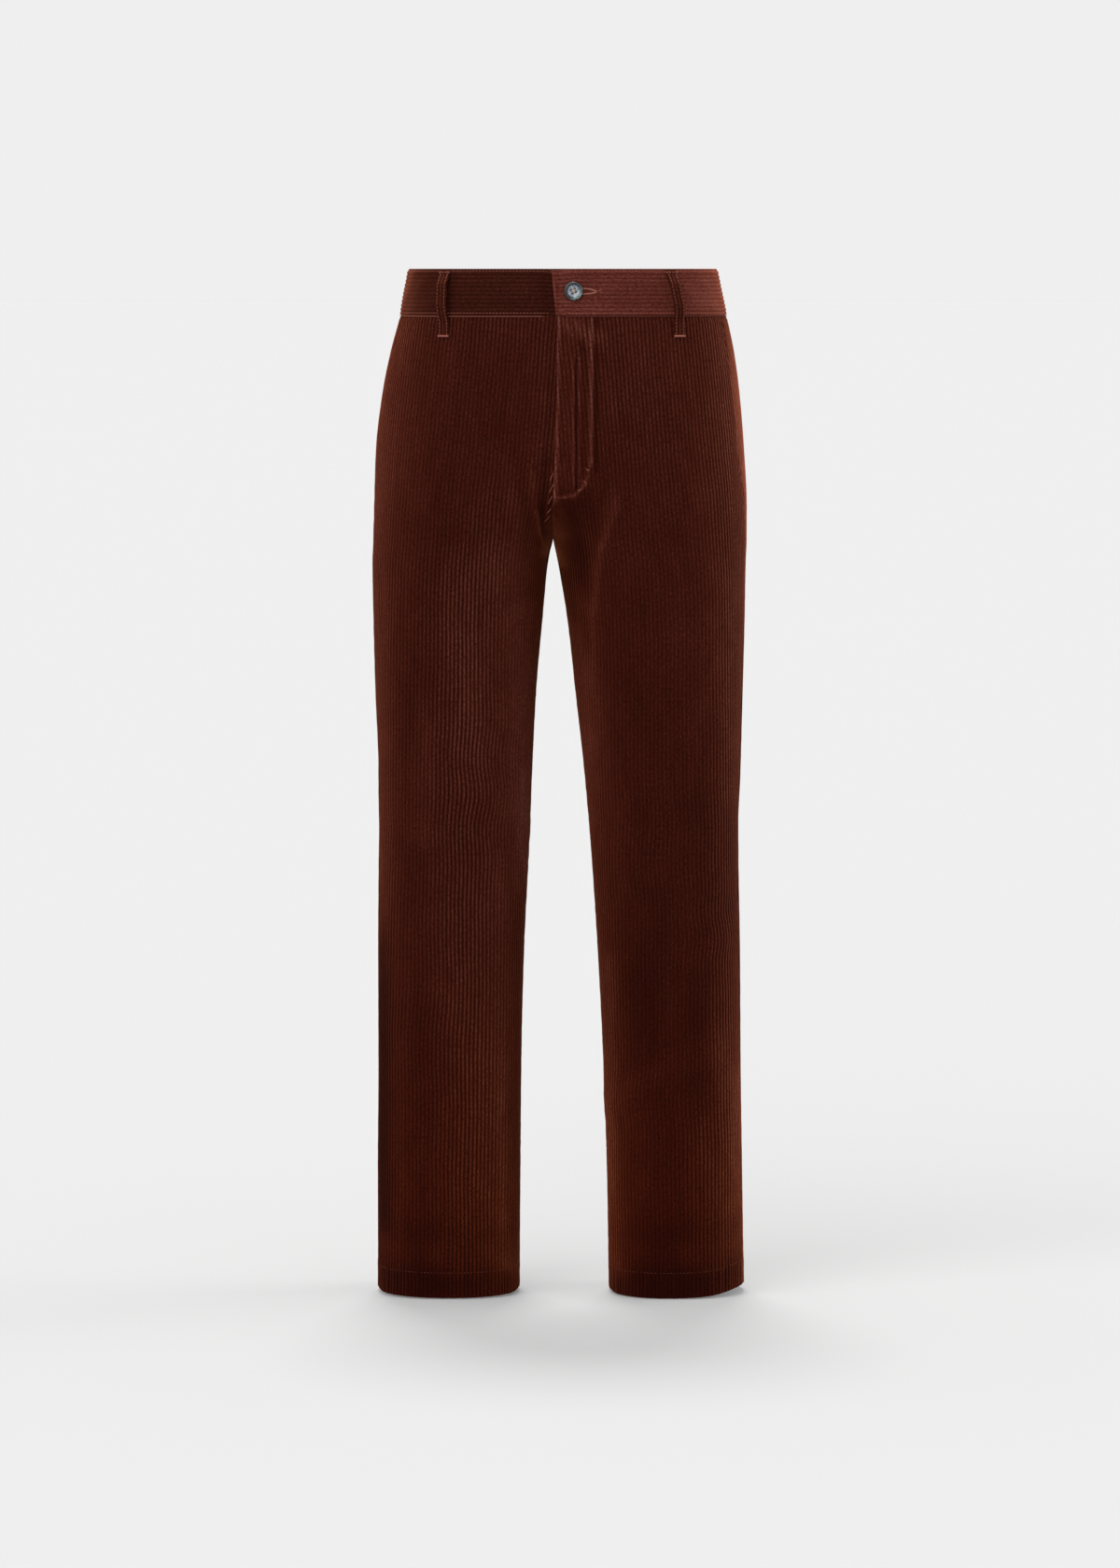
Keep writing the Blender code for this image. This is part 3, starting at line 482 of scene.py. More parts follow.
def smooth_through(heights, values):
    """A smooth curve through a column's values that never swings past them."""
    heights = np.array(heights[::-1], float)
    values = np.array(values[::-1], float)
    rise = np.diff(values) / np.diff(heights)
    both = rise[:-1] * rise[1:]
    total = rise[:-1] + rise[1:]
    between = np.where(both > 0, 2 * both / np.where(both > 0, total, 1), 0)
    slope = np.concatenate((rise[:1], between, rise[-1:]))

    def at(height):
        span = int(np.clip(np.searchsorted(heights, height) - 1, 0, len(rise) - 1))
        width = heights[span + 1] - heights[span]
        t = min(max((height - heights[span]) / width, 0), 1)
        level = values[span] * (1 + 2 * t) * (1 - t) ** 2 + values[span + 1] * t * t * (3 - 2 * t)
        return level + width * t * (1 - t) * (slope[span] * (1 - t) - slope[span + 1] * t)

    return at


def read_columns():
    """Each column of the sections as a smooth function of height."""
    curves = {}
    for index, name in enumerate(COLUMNS[1:], start=1):
        rows = [row for row in SECTIONS if row[index] is not None]
        scale = 1 if name == "crown" else MM
        curves[name] = smooth_through([row[0] * MM for row in rows], [row[index] * scale for row in rows])
    return curves


SIZES = read_columns()
Line = namedtuple("Line", "along points normals length grain height")


def inner_edge(side, face, height):
    """Where a panel ends inwards: at a centre seam above the crotch and at the inseam below it."""
    if height >= CROTCH:
        return SIZES[f"centre_{FACE_NAMES[face]}"](height)
    return SIZES[f"{SIDE_NAMES[side]}_inner"](height)


def closing(face, height):
    """How far the plan curves back towards the other leg: fully from the crotch down, hardly at the waist."""
    rise = (height - CROTCH) / CROTCH_RADIUS[face]
    if rise <= 0:
        return 1.0
    depth = math.sqrt(1 - (1 - min(rise, 1)) ** 2)
    power = FULLNESS[face]
    return max((1 - depth**power) ** (1 / power), FLATTEST)


def quarter(start, end, power):
    """Shares along the two axes of a rounded quarter between two angles."""
    angle = np.linspace(start, end, DENSE)
    return np.abs(np.cos(angle)) ** (2 / power), np.abs(np.sin(angle)) ** (2 / power)


def plan_curve(side, face, height):
    """Plan points of a panel's middle surface, from its side seam to its inner edge."""
    outer, seam = (SIZES[f"{SIDE_NAMES[side]}_{part}"](height) for part in ("outer", "seam"))
    names = ("front", FACE_NAMES[face], "middle", "crown")
    front, depth, middle, share = (SIZES[name](height) for name in names)
    inner = inner_edge(side, face, height)
    crown = inner + (outer - inner) * share
    seam_angle = math.asin((seam / front) ** (FULLNESS[FRONT] / 2))
    power = FULLNESS[face]
    runs = [(seam_angle, math.pi / 2, power, -front)]
    if face == BACK:
        runs = [(seam_angle, 0, FULLNESS[FRONT], -front), (0, math.pi / 2, power, depth)]
    points = []
    for start, end, fullness, reach in runs:
        across, back = quarter(start, end, fullness)
        points.append(columns(crown + (outer - crown) * across, middle + reach * back))
    closed = closing(face, height)
    back, across = quarter(0, math.asin(closed ** (power / 2)), power)
    points.append(columns(crown + (inner - crown) * across / closed, middle + face * depth * back))
    return np.vstack([points[0], *(run[1:] for run in points[1:])])


def measured(points, normal_sign, past, height):
    """A Line from plan points: distances along it and outward directions."""
    along = np.concatenate(([0], np.cumsum(np.hypot(*np.diff(points, axis=0).T))))
    tangent = np.gradient(points, axis=0)
    tangent /= np.hypot(tangent[:, 0], tangent[:, 1])[:, None]
    normals = normal_sign * np.column_stack((-tangent[:, 1], tangent[:, 0]))
    return Line(along, points, normals, along[-1] - past, 0.0, height)


def lengthened(points, beyond):
    """The same points and one more, straight on."""
    onward = points[-1] - points[-2]
    return np.vstack([points, points[-1] + onward / np.hypot(*onward) * beyond])


def cloth_line(side, face, height, beyond=0.0):
    """A panel's line at one height, with its outward directions and the place of its grain line."""
    points = plan_curve(side, face, height)
    if beyond > 0:
        points = lengthened(points, beyond)
    line = measured(points, -side * face, beyond, height)
    grain = place_of(line, side, side * SIZES[f"{FACE_NAMES[face]}_grain"](height))
    return line._replace(grain=float(grain))


def place_of(line, side, x):
    """How far along a panel's line the front or back view's x lies."""
    widest = int(np.argmax(side * line.points[:, 0]))
    return np.interp(-side * x, -side * line.points[widest:, 0], line.along[widest:])


def read_line(line, places):
    """Plan points and outward directions at places along a line."""
    columns = (*line.points.T, *line.normals.T)
    return [np.interp(places, line.along, values) for values in columns]


def fold_depth(strokes, x, z):
    """What strokes add up to at points of the front or back view: the heights, in metres, of folds."""
    total = np.zeros(len(x))
    for x1, z1, x2, z2, width, height in strokes:
        start = np.array((x1, z1)) * MM
        run = np.array((x2, z2)) * MM - start
        length = np.hypot(*run)
        share = ((x - start[0]) * run[0] + (z - start[1]) * run[1]) / length**2
        aside = ((x - start[0]) * run[1] - (z - start[1]) * run[0]) / length
        past = np.maximum(np.abs(share - 0.5) - 0.5, 0) * length
        total += height * MM * np.exp(-(aside**2 + FOLD_FADE * past**2) / (width * MM) ** 2)
    return total


def pucker_wave(pucker, along_seam, distance, phase):
    """Puckers of one seam: uneven waves along it that die away from it."""
    turn = TURN * (along_seam + pucker.slant * distance) / pucker.wave + phase
    swell = np.sin(TURN * along_seam / (pucker.wave * PUCKER_SWELL_WAVES) + 2 * phase)
    shift = PUCKER_SHIFT * np.sin(TURN * along_seam / (pucker.wave * PUCKER_SHIFT_WAVES) + phase)
    depth = pucker.depth * (1 - PUCKER_SWELL + PUCKER_SWELL * swell)
    return depth * np.sin(turn + shift) * np.exp(-distance / pucker.reach)


def pile(side, face, line, places):
    """The pile's painted light and shade at places along a line: lightness as a share of its colour,
    crispness, more sheen.
    """
    x, height = read_line(line, places)[0], line.height
    from_inner = np.maximum(line.length - places, 0)
    under_fly = (side, face) == (RIGHT, FRONT) and height > FLY_END
    # painted light and shade in the pile's colour: nap, painted shade and highlights, the folds' painted
    # shade, the seams' painted shade and the side seams' painted gleam
    share = 1 + fold_depth(PAINTED_NAP_AND_SHADE[side, face], x, height) / MM
    share = share + FOLD_PAINTED_SHADE * fold_depth(FOLDS[side, face], x, height)
    for reach, amount in EDGE_PAINTED_SHADE:
        share = share + amount * (near(places, reach) + near(from_inner, reach) * (not under_fly))
    sheen = np.zeros(len(x))
    for top, bottom, amount, gleam in SIDE_PAINTED_GLEAM[side, face]:
        beside = eased((GLEAM_REACH[face] - places) / GLEAM_FADE)
        beside = beside * eased((top * MM - height) / GLEAM_TAPER + 0.5)
        beside = beside * eased((height - bottom * MM) / GLEAM_TAPER + 0.5)
        share = share + amount * beside
        sheen = sheen + gleam * beside
    crisp = SOFT + fold_depth(CRISP[side, face], x, height) / MM
    return np.column_stack((np.clip(share, *SHADE_LIMITS), np.clip(crisp, 0, 1), sheen))


def hem_drop(side, x, height):
    """How far points hang below their level near the hem."""
    total = np.zeros(len(x))
    for middle, width, drop in HEM_DROPS[side]:
        total += drop * MM * near(x - middle * MM, width * MM)
    return total * eased((HEM_DROP_FROM - height) / (HEM_DROP_FROM - HEM))


def seam_form(side, face, line, places):
    """Puckers and turned-in edges at a panel's seams, its hem and its waist."""
    height = line.height
    on_fly = face == FRONT and height > FLY_END
    from_side = np.maximum(places, 0)
    from_inner = np.maximum(line.length - places, 0)
    below = WAIST_SEAM - height
    phase = SIDE_PHASE * side + FACE_PHASE * face
    out = pucker_wave(SIDE_PUCKER, height, from_side, phase)
    if not on_fly:
        inner = CENTRE_PUCKER if height > CROTCH else INSEAM_PUCKER
        if face == BACK and height > FLY_END:
            inner = INSEAM_PUCKER
        out = out + pucker_wave(inner, height, from_inner, phase + 1)
    out = out + pucker_wave(HEM_PUCKER, places, max(height - HEM_FOLD, 0.0), phase)
    out = out + pucker_wave(BAND_PUCKER, places, below, phase)
    roll = SEAM_ROLL * (near(from_side, SEAM_ROLL_REACH) + near(below, 2 * SEAM_ROLL_REACH))
    if not (on_fly and side == RIGHT):
        roll = roll + (FLY_ROLL if on_fly else SEAM_ROLL) * near(from_inner, SEAM_ROLL_REACH)
    return out - roll


def on_cloth(side, face, line, places, offset, fine=True):
    """Points at places along a line, moved out by an offset, the folds, the seams and the fly's step."""
    x, y, nx, ny = read_line(line, places)
    out = offset + fold_depth(FOLDS[side, face], x, line.height)
    if fine:
        out = out + seam_form(side, face, line, places)
    if (side, face) == (RIGHT, FRONT):
        step = FLY_STEP * np.clip((line.height - FLY_END) / FLY_FADE + 1, 0, 1)
        out = out - step * eased((places - line.length + FLY_EASE) / FLY_RAMP)
    x, y = x + nx * out, y + ny * out
    if line.height < FLY_END:
        limit = inner_edge(side, face, max(line.height, CROTCH)) - side * SEAM_LAP
        x = side * np.maximum(side * x, side * limit)
    if fine and not (face == FRONT and line.height > FLY_END):
        seam = inner_edge(side, face, line.height) - side * SEAM_LAP
        x = x + (seam - x) * near(np.maximum(line.length - places, 0), SEAM_HOLD)
    return np.column_stack((x, y, line.height - hem_drop(side, x, line.height)))


def sway(side, face, line, marks):
    """How far the cords lie aside of their straight run."""
    height = line.height
    total = np.zeros(len(marks))
    for size, wave, across, phase in WANDER:
        total += size * np.sin(TURN * (height / wave + marks / across) + phase + side + 2 * face)
    x = read_line(line, line.grain + marks)[0]
    for *spot, wave, size in SWAYS[side, face]:
        total += size * MM * np.sin(TURN * (height / (wave * MM))) * near_spot(x, height, spot)
    return total


# ================================================================ meshes
class Skin:
    """Points, their place in the cloth, their pile and faces, gathered for one mesh."""

    def __init__(self):
        self.points, self.cloth, self.pile, self.faces, self.kinds, self.count = [], [], [], [], [], 0

    def add(self, points, cloth, pile=PLAIN_PILE):
        """Add points with their (across, down, height of the cord) in the cloth and their pile: painted
        lightness, crispness and more sheen.
        """
        self.points.append(np.asarray(points, float))
        for layer, values in ((self.cloth, cloth), (self.pile, pile)):
            layer.append(np.broadcast_to(np.asarray(values, float), (len(points), 3)))
        self.count += len(points)
        return np.arange(self.count - len(points), self.count)

    def strip(self, upper, lower, kind=0):
        """Faces between two rows of equal length: triangles where one stands still, none where both do."""
        a, b, c, d = upper[:-1], upper[1:], lower[1:], lower[:-1]
        self.faces += np.stack((a, b, c, d), 1)[(a != b) & (c != d)].tolist()
        self.faces += np.stack((a, c, d), 1)[(a == b) & (c != d)].tolist()
        self.faces += np.stack((a, b, c), 1)[(a != b) & (c == d)].tolist()
        self.kinds += [kind] * (len(self.faces) - len(self.kinds))

    def bridge(self, first, first_keys, second, second_keys):
        """Triangles between two rows of unlike length, whose keys say which points lie side by side."""
        i = j = 0
        while i < len(first) - 1 or j < len(second) - 1:
            ended = j == len(second) - 1
            if ended or (i < len(first) - 1 and first_keys[i + 1] <= second_keys[j + 1] + LEVEL):
                self.faces.append([first[i], first[i + 1], second[j]])
                i += 1
            else:
                self.faces.append([first[i], second[j + 1], second[j]])
                j += 1
        self.kinds += [0] * (len(self.faces) - len(self.kinds))

    def cap(self, corners):
        """One face over an open end."""
        self.faces.append(list(corners))
        self.kinds.append(0)

    def finish(self, name, *materials):
        """The mesh as a piece, its faces turned outwards."""
        data = bpy.data.meshes.new(name)
        faces = [[int(corner) for corner in face] for face in self.faces]
        data.from_pydata(np.vstack(self.points).tolist(), [], faces)
        data.polygons.foreach_set("material_index", self.kinds)
        for layer, values in (("cloth", self.cloth), ("pile", self.pile)):
            vectors = data.attributes.new(layer, "FLOAT_VECTOR", "POINT").data
            vectors.foreach_set("vector", np.vstack(values).astype(np.float32).ravel())
        shell = bmesh.new()
        shell.from_mesh(data)
        bmesh.ops.recalc_face_normals(shell, faces=shell.faces)
        shell.to_mesh(data)
        shell.free()
        data.shade_smooth()
        data.set_sharp_from_angle(angle=SHARP_CLOTH)
        return place(name, data, materials)


def place(name, data, materials, spot=(0, 0, 0), turn=(0, 0, 0)):
    """A piece in the scene, made of materials given by name."""
    piece = bpy.data.objects.new(name, data)
    bpy.context.scene.collection.objects.link(piece)
    for material in materials:
        data.materials.append(MATERIALS[material])
    piece.location, piece.rotation_euler = spot, turn
    return piece


def dress(piece, slot, *nodes):
    """Say what a finished piece rides on and stands for."""
    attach(piece, "root")
    if nodes:
        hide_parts(*nodes)
    return piece


def cord_height(share):
    """Height of a cord's surface above its groove, as a share of the relief, across one pitch."""
    return np.abs(np.sin(math.pi * share)) ** WALE_ROUND


def cord_marks(span, cuts):
    """Distances from the grain line at which the cords are cut across, and how high the cord is there."""
    first, last = math.floor(span[0] / WALE_PITCH) - 1, math.ceil(span[1] / WALE_PITCH) + 1
    shares = (np.arange(first, last)[:, None] + np.array(cuts)[None, :]).ravel()
    return shares * WALE_PITCH, cord_height(shares)


def even_places(line, start, end, count):
    """Places along a line, closer together where it bends."""
    turn = np.abs(np.diff(np.unwrap(np.arctan2(line.normals[:, 1], line.normals[:, 0]))))
    measure = np.concatenate(([0], np.cumsum(turn / math.pi + np.diff(line.along) / line.length)))
    ends = np.interp((start, end), line.along, measure)
    return np.interp(np.linspace(ends[0], ends[1], count + 1), measure, line.along)


def row_heights(face):
    """Heights of the rows of a panel's shell."""
    rows = []
    for upper, lower, apart in zip(ROW_SPANS, ROW_SPANS[1:], ROWS_APART[face]):
        count = round((upper - lower) / apart)
        rows += [upper + (lower - upper) * i / count for i in range(count)]
    return [height * MM for height in (*rows, ROW_SPANS[-1])]


def panel_line(side, face, height):
    """A panel's line at one height and where its cloth ends: the right front runs on under the fly."""
    laps = (side, face) == (RIGHT, FRONT) and height > FLY_END + MM
    line = cloth_line(side, face, height, FLY_UNDERLAP if laps else 0.0)
    return line, line.along[-1]


def cut_row(skin, side, face, line, end, marks, crowns):
    """One outer row of a panel. Cords that run past an edge share the edge's point."""
    places = line.grain + marks + sway(side, face, line, marks)
    inside = np.flatnonzero((places > 0) & (places < end))
    kept = np.concatenate(([0.0], places[inside], [end]))
    crown = np.concatenate(([0.0], crowns[inside], [0.0]))
    brushed = pile(side, face, line, kept)
    relief = WALE_RELIEF * np.clip(brushed[:, 1] / SOFT, 0, 1)
    points = on_cloth(side, face, line, kept, (crown - 0.5) * relief)
    across = np.concatenate(([-line.grain], marks[inside], [end - line.grain]))
    cloth = columns(across, line.height, crown)
    numbers = skin.add(points, cloth, brushed)
    index = np.clip(np.arange(len(marks)) - inside[0] + 1, 0, len(kept) - 1)
    return numbers[index], numbers, kept - line.grain


def inner_row(skin, side, face, height, depth):
    """One row of a panel's plain inside, at a depth below its middle surface."""
    line, end = panel_line(side, face, height)
    places = even_places(line, 0.0, end, INNER_COLUMNS)
    points = on_cloth(side, face, line, places, -depth, fine=False)
    cloth = columns(places - line.grain, height, LINING)
    return skin.add(points, cloth), places - line.grain


def panel_area(side, face, heights):
    """The flat width and area of what shows of a panel."""
    widths = np.array([panel_line(side, face, height)[1] for height in heights])
    return float(widths.max()), float(((widths[1:] + widths[:-1]) / 2 * -np.diff(heights)).sum())


def panel_skin(side, face, heights):
    """A panel's cords outside and its plain inside, joined round its edges and turned up at the hem."""
    skin = Skin()
    lines = [panel_line(side, face, height) for height in heights]
    span = (min(-line.grain for line, _ in lines), max(end - line.grain for line, end in lines))
    marks, crowns = cord_marks(span, WALE_CUTS[face])
    outer = [cut_row(skin, side, face, line, end, marks, crowns) for line, end in lines]
    turned = INSIDE + HEM_TURNED
    depths = [(height, INSIDE) for height in heights if height > HEM_FOLD]
    depths += [(HEM_FOLD, INSIDE), (HEM_FOLD - SEAM_GAP, turned), (HEM, turned)]
    inner = [inner_row(skin, side, face, height, depth) for height, depth in depths]
    for rows, kind in ((outer, 0), (inner, 1)):
        for upper, lower in zip(rows, rows[1:]):
            skin.strip(upper[0], lower[0], kind)
    for end in (0, -1):
        skin.bridge(outer[end][1], outer[end][2], *inner[end])
        edge = [row[1][end] for row in outer]
        lining = [row[0][end] for row in inner]
        skin.bridge(edge, [-height for height in heights], lining, [-height for height, _ in depths])
    return skin


def leg_panel(side, face):
    """A front or back panel of one leg."""
    heights = row_heights(face)
    name = f"{FACE_NAMES[face]}_{SIDE_NAMES[side]}"
    skin = panel_skin(side, face, heights)
    piece = dress(skin.finish(f"{name}_cloth", "corduroy", "cloth_back"), "corduroy", name)
    width, area = panel_area(side, face, heights)


# ================================================================ waistband
def band_line(side, height, beyond):
    """The waist's line at one height, from the centre back round the side to the front end."""
    rear = plan_curve(side, BACK, height)[::-1]
    fore = plan_curve(side, FRONT, height)
    return measured(lengthened(np.vstack([rear, fore[1:]]), beyond), side, beyond, height)


BAND_LINES = {
    side: (band_line(side, 0.0, upper_lap), band_line(side, WAIST_SEAM, lower_lap))
    for side, (upper_lap, lower_lap) in BAND_LAP.items()
}


def band_point(side, place, offset, height):
    """Points of the band at shares of the way round it."""
    place, offset = np.broadcast_arrays(np.asarray(place, float), np.asarray(offset, float))
    share = height / WAIST_SEAM
    ends = []
    for line in BAND_LINES[side]:
        along = place * line.along[-1]
        x, y, nx, ny = read_line(line, along)
        out = offset + BAND_PROUD
        if side == RIGHT:
            out = out - BAND_STEP * eased((along - line.length + BAND_EASE) / BAND_RAMP)
        ends.append(np.array((x + nx * out, y + ny * out)))
    x, y = ends[0] * (1 - share) + ends[1] * share
    dip = BAND_DIP * near(x - BAND_DIP_AT, BAND_DIP_WIDTH) * (y < 0) * (1 - share)
    return np.column_stack((x, y, height - dip))


def band_relief(side, place, height, whole):
    """Unevenness of the band: soft waves, pressed stitch rows and rolled edges."""
    along = place * whole
    edges = near(height - WAIST_SEAM, BAND_EDGE_REACH) + near(whole - along, BAND_EDGE_REACH)
    out = -BAND_EDGE_ROLL * edges
    for depth, around, up, by_side, phase in BAND_WAVES:
        out = out + depth * np.sin(TURN * (along / around + height / up) + by_side * side + phase)
    for row in BAND_STITCHES:
        out = out - STITCH_SINK * near(height - row, STITCH_SINK_REACH)
    return out


def band_pile(side, points):
    """The band's painted highlights and shade at points of it, and its crispness."""
    x, y, z = points.T
    share = np.ones(len(points))
    for *spot, amount in BAND_PAINTED_LIGHT[side]:
        share = share + amount * near_spot(x, z, spot) * (y < 0)
    return columns(share, BAND_CRISP[side], 0.0)


def band_profile():
    """The band from its seam up, over its rounded top and down inside: offset, height, cord, wavy share."""
    low, top = WAIST_SEAM + SEAM_GAP / 2, -BAND_TOP_ROUND
    marks, crowns = cord_marks((0, top - low), WALE_CUTS[FRONT])
    profile = [
        ((crown - 0.5) * WALE_RELIEF, low + mark, crown, 1.0)
        for mark, crown in zip(marks, crowns)
        if -SEAM_LAP <= mark < top - low - BAND_TOP_CLEAR
    ]
    half = BAND_THICKNESS / 2 - WALE_RELIEF / 4
    for share in np.linspace(0, 1, BAND_TOP_STEPS + 1):
        offset = half * math.cos(math.pi * share) - BAND_THICKNESS / 2 - WALE_RELIEF / 4
        height = top + BAND_TOP_ROUND * math.sin(math.pi * share)
        profile.append((offset, height, 0.5 - 1.5 * share, 1 - share))
    for height in np.linspace(top, low, BAND_INSIDE_STEPS + 1)[1:]:
        profile.append((-BAND_THICKNESS, height, LINING, 0.0))
    return profile


def waistband(side):
    """One half of the waistband, its cords lying round the waist."""
    skin = Skin()
    whole = BAND_LINES[side][0].along[-1]
    edge = np.array(BAND_END_CUTS)
    places = np.linspace(0.0, whole, round(whole / BAND_COLUMN))
    places = np.unique(np.concatenate((places, whole - edge, edge + SEAM_GAP / 2))) / whole
    rows = []
    for offset, height, crown, wavy in band_profile():
        points = band_point(side, places, offset + band_relief(side, places, height, whole) * wavy, height)
        cloth = columns(height, places * whole, crown)
        rows.append(skin.add(points, cloth, band_pile(side, points)))
    inside_from = len(rows) - BAND_INSIDE_STEPS - 2
    for index, (lower, upper) in enumerate(zip(rows, rows[1:])):
        skin.strip(lower, upper, kind=1 if index >= inside_from else 0)
    skin.strip(rows[-1], rows[0])
    for end in (0, -1):
        skin.cap(row[end] for row in rows)
    name = f"waistband_{SIDE_NAMES[side]}"
    piece = dress(skin.finish(f"{name}_cloth", BAND_PILE[side], "cloth_back"), "corduroy", name)


# ================================================================ belt loops
def waist_spot(face, x, height):
    """The middle surface's plan point and outward direction at a place on the waist."""
    side = LEFT if x >= inner_edge(LEFT, face, height) else RIGHT
    line = cloth_line(side, face, height)
    x, y, nx, ny = (float(value) for value in read_line(line, float(place_of(line, side, x))))
    return np.array((x, y)), np.array((nx, ny)) / math.hypot(nx, ny)


def loop_section():
    """Outline of a strap cut across, from one inner edge over its cords: across, out, cord height."""
    outline = [(-0.5, 0.0, 0.0)]
    for cut in np.linspace(-0.5, 0.5, LOOP_CORDS * LOOP_CORD_CUTS + 1):
        cord = cord_height((cut + 0.5) * LOOP_CORDS)
        edge = max(0.0, 1 - (0.5 - abs(cut)) * LOOP_WIDTH / LOOP_EDGE)
        outline.append((cut, LOOP_THICKNESS - LOOP_CORD_RELIEF * (1 - cord) - LOOP_EDGE * edge**2, cord))
    return outline + [(0.5, 0.0, 0.0), (0.0, 0.0, 0.0)]


def loop_run(name, face, x):
    """The strap's middle line: heights, plan points, outward directions and how far off its back lies."""
    low, lean = LOOP_LEAN.get(name, (x, 0.0))
    keys = np.array(LOOP_PATH, float)
    heights = np.interp(np.linspace(0, 1, LOOP_SECTIONS), np.linspace(0, 1, len(keys)), keys[:, 0]) * MM
    slack = smooth_through(list(keys[:, 0] * MM), list(keys[:, 1]))
    run = []
    for height in heights:
        spot, out = waist_spot(face, low + lean * float(eased(height / LOOP_LEAN_FROM + 1)), height)
        proud = BAND_PROUD * float(np.clip((height - WAIST_SEAM) / LOOP_STEP + 1, 0, 1))
        run.append((height, spot, out, WALE_RELIEF / 2 + proud + SEAM_GAP + slack(height) * LOOP_SLACK))
    return run


def loop_point(station, aside, rise, lift=0.0):
    """A point of a strap: at one station of its run, aside as a share of its width, raised off its back."""
    height, spot, out, base = station
    plan = spot + np.array((-out[1], out[0])) * aside * LOOP_WIDTH + out * (base + rise)
    return np.array((*plan, height + lift))


def belt_loop(name, face, x):
    """A strap of three cords that stands off the band."""
    skin = Skin()
    outline = loop_section()
    run = loop_run(name, face, x)
    rows = []
    for station in run:
        points = [loop_point(station, aside, rise) for aside, rise, _ in outline]
        row = skin.add(points, [(aside * LOOP_WIDTH, station[0], cord) for aside, _, cord in outline])
        rows.append(np.append(row, row[0]))
    for upper, lower in zip(rows, rows[1:]):
        skin.strip(upper, lower)
    for row in (rows[0], rows[-1]):
        skin.cap(row[:-1])
    piece = dress(skin.finish(f"{name}_cloth", "corduroy_loops"), "corduroy", name)
    loop_sewing(name, run)


def loop_sewing(name, run):
    """A row of stitches along each edge of a strap and a tack across each end."""
    out = np.array([(*station[2], 0.0) for station in run])
    parts = []
    for share in LOOP_STITCH_ROWS:
        points = [loop_point(station, share, LOOP_THICKNESS - STITCH_SINK) for station in run]
        parts.append(stitch_row(np.array(points), out))
    for end, drop in LOOP_TACKS:
        stitches = []
        for aside in np.linspace(-0.5, 0.5, TACK_THREADS):
            top = loop_point(run[end], aside, LOOP_THICKNESS, TACK_HEIGHT / 2 - drop)
            bottom = loop_point(run[end], aside, LOOP_THICKNESS, -TACK_HEIGHT / 2 - drop)
            stitches.append((top, bottom, out[end]))
        parts.append(capsules(stitches, TACK_THREAD))
    sew(f"{name}_sewing", parts, "thread_loops")


# ================================================================ sewing
def capsules(stitches, radius):
    """Thread between pairs of points, bowed a little outwards: points and faces."""
    points, faces = [], []
    angles = np.arange(RING_SIDES) * TURN / RING_SIDES
    following = (*range(1, RING_SIDES), 0)
    for start, end, out in stitches:
        run = end - start
        ahead = run / np.linalg.norm(run)
        up = out - ahead * np.dot(out, ahead)
        up = up / np.linalg.norm(up)
        aside = np.cross(ahead, up)
        rings = []
        for share, size, rise in STITCH_RINGS:
            middle = start + run * share + up * rise * radius
            rings.append(range(len(points), len(points) + RING_SIDES))
            points += [middle + (aside * math.cos(a) + up * math.sin(a)) * radius * size for a in angles]
        for one, other in zip(rings, rings[1:]):
            faces += [(one[i], one[j], other[j], other[i]) for i, j in enumerate(following)]
        faces += [tuple(rings[0]), tuple(reversed(rings[-1]))]
    return points, faces


def stitch_row(points, normals, pitch=STITCH_PITCH, length=STITCH_LENGTH, radius=THREAD):
    """Even stitches along a path that lies on the cloth."""
    along = np.concatenate(([0], np.cumsum(np.linalg.norm(np.diff(points, axis=0), axis=1))))
    starts = np.arange(pitch * STITCH_START, along[-1] - length, pitch)
    ends = starts + length

    def at(places, values):
        return np.column_stack([np.interp(places, along, column) for column in values.T])

    return capsules(zip(at(starts, points), at(ends, points), at((starts + ends) / 2, normals)), radius)


def sew(name, parts, material, *where):
    """One piece from several runs of thread."""
    points, faces = [], []
    for more_points, more_faces in parts:
        first = len(points)
        points += [tuple(point) for point in more_points]
        faces += [tuple(first + corner for corner in face) for face in more_faces]
    data = bpy.data.meshes.new(name)
    data.from_pydata(points, [], faces)
    data.shade_smooth()
    dress(place(name, data, [material], *where), "thread")


def on_panel(side, face, path, lift):
    """Points and outward directions on a panel along a path of (x, height) in the front or back view."""
    points, normals = [], []
    for x, height in path:
        line = cloth_line(side, face, height)
        where = np.array([float(place_of(line, side, x))])
        points.append(on_cloth(side, face, line, where, lift)[0])
        nx, ny = read_line(line, where)[2:]
        normals.append((nx[0], ny[0], 0.0))
    return np.array(points), np.array(normals)


def smooth_path(keys, apart):
    """Points close together on a smooth path through a few, given in millimetres."""
    keys = np.array(keys, float) * MM
    padded = np.vstack([2 * keys[0] - keys[1], keys, 2 * keys[-1] - keys[-2]])
    path = []
    for before, a, b, after in zip(padded, padded[1:], padded[2:], padded[3:]):
        count = max(2, math.ceil(np.linalg.norm(b - a) / apart))
        for t in np.linspace(0, 1, count, endpoint=False):
            bend = 0.5 * ((2 * a) + (b - before) * t + (2 * before - 5 * a + 4 * b - after) * t * t)
            path.append(bend + 0.5 * (3 * a - before - 3 * b + after) * t**3)
    return np.array(path + [keys[-1]])


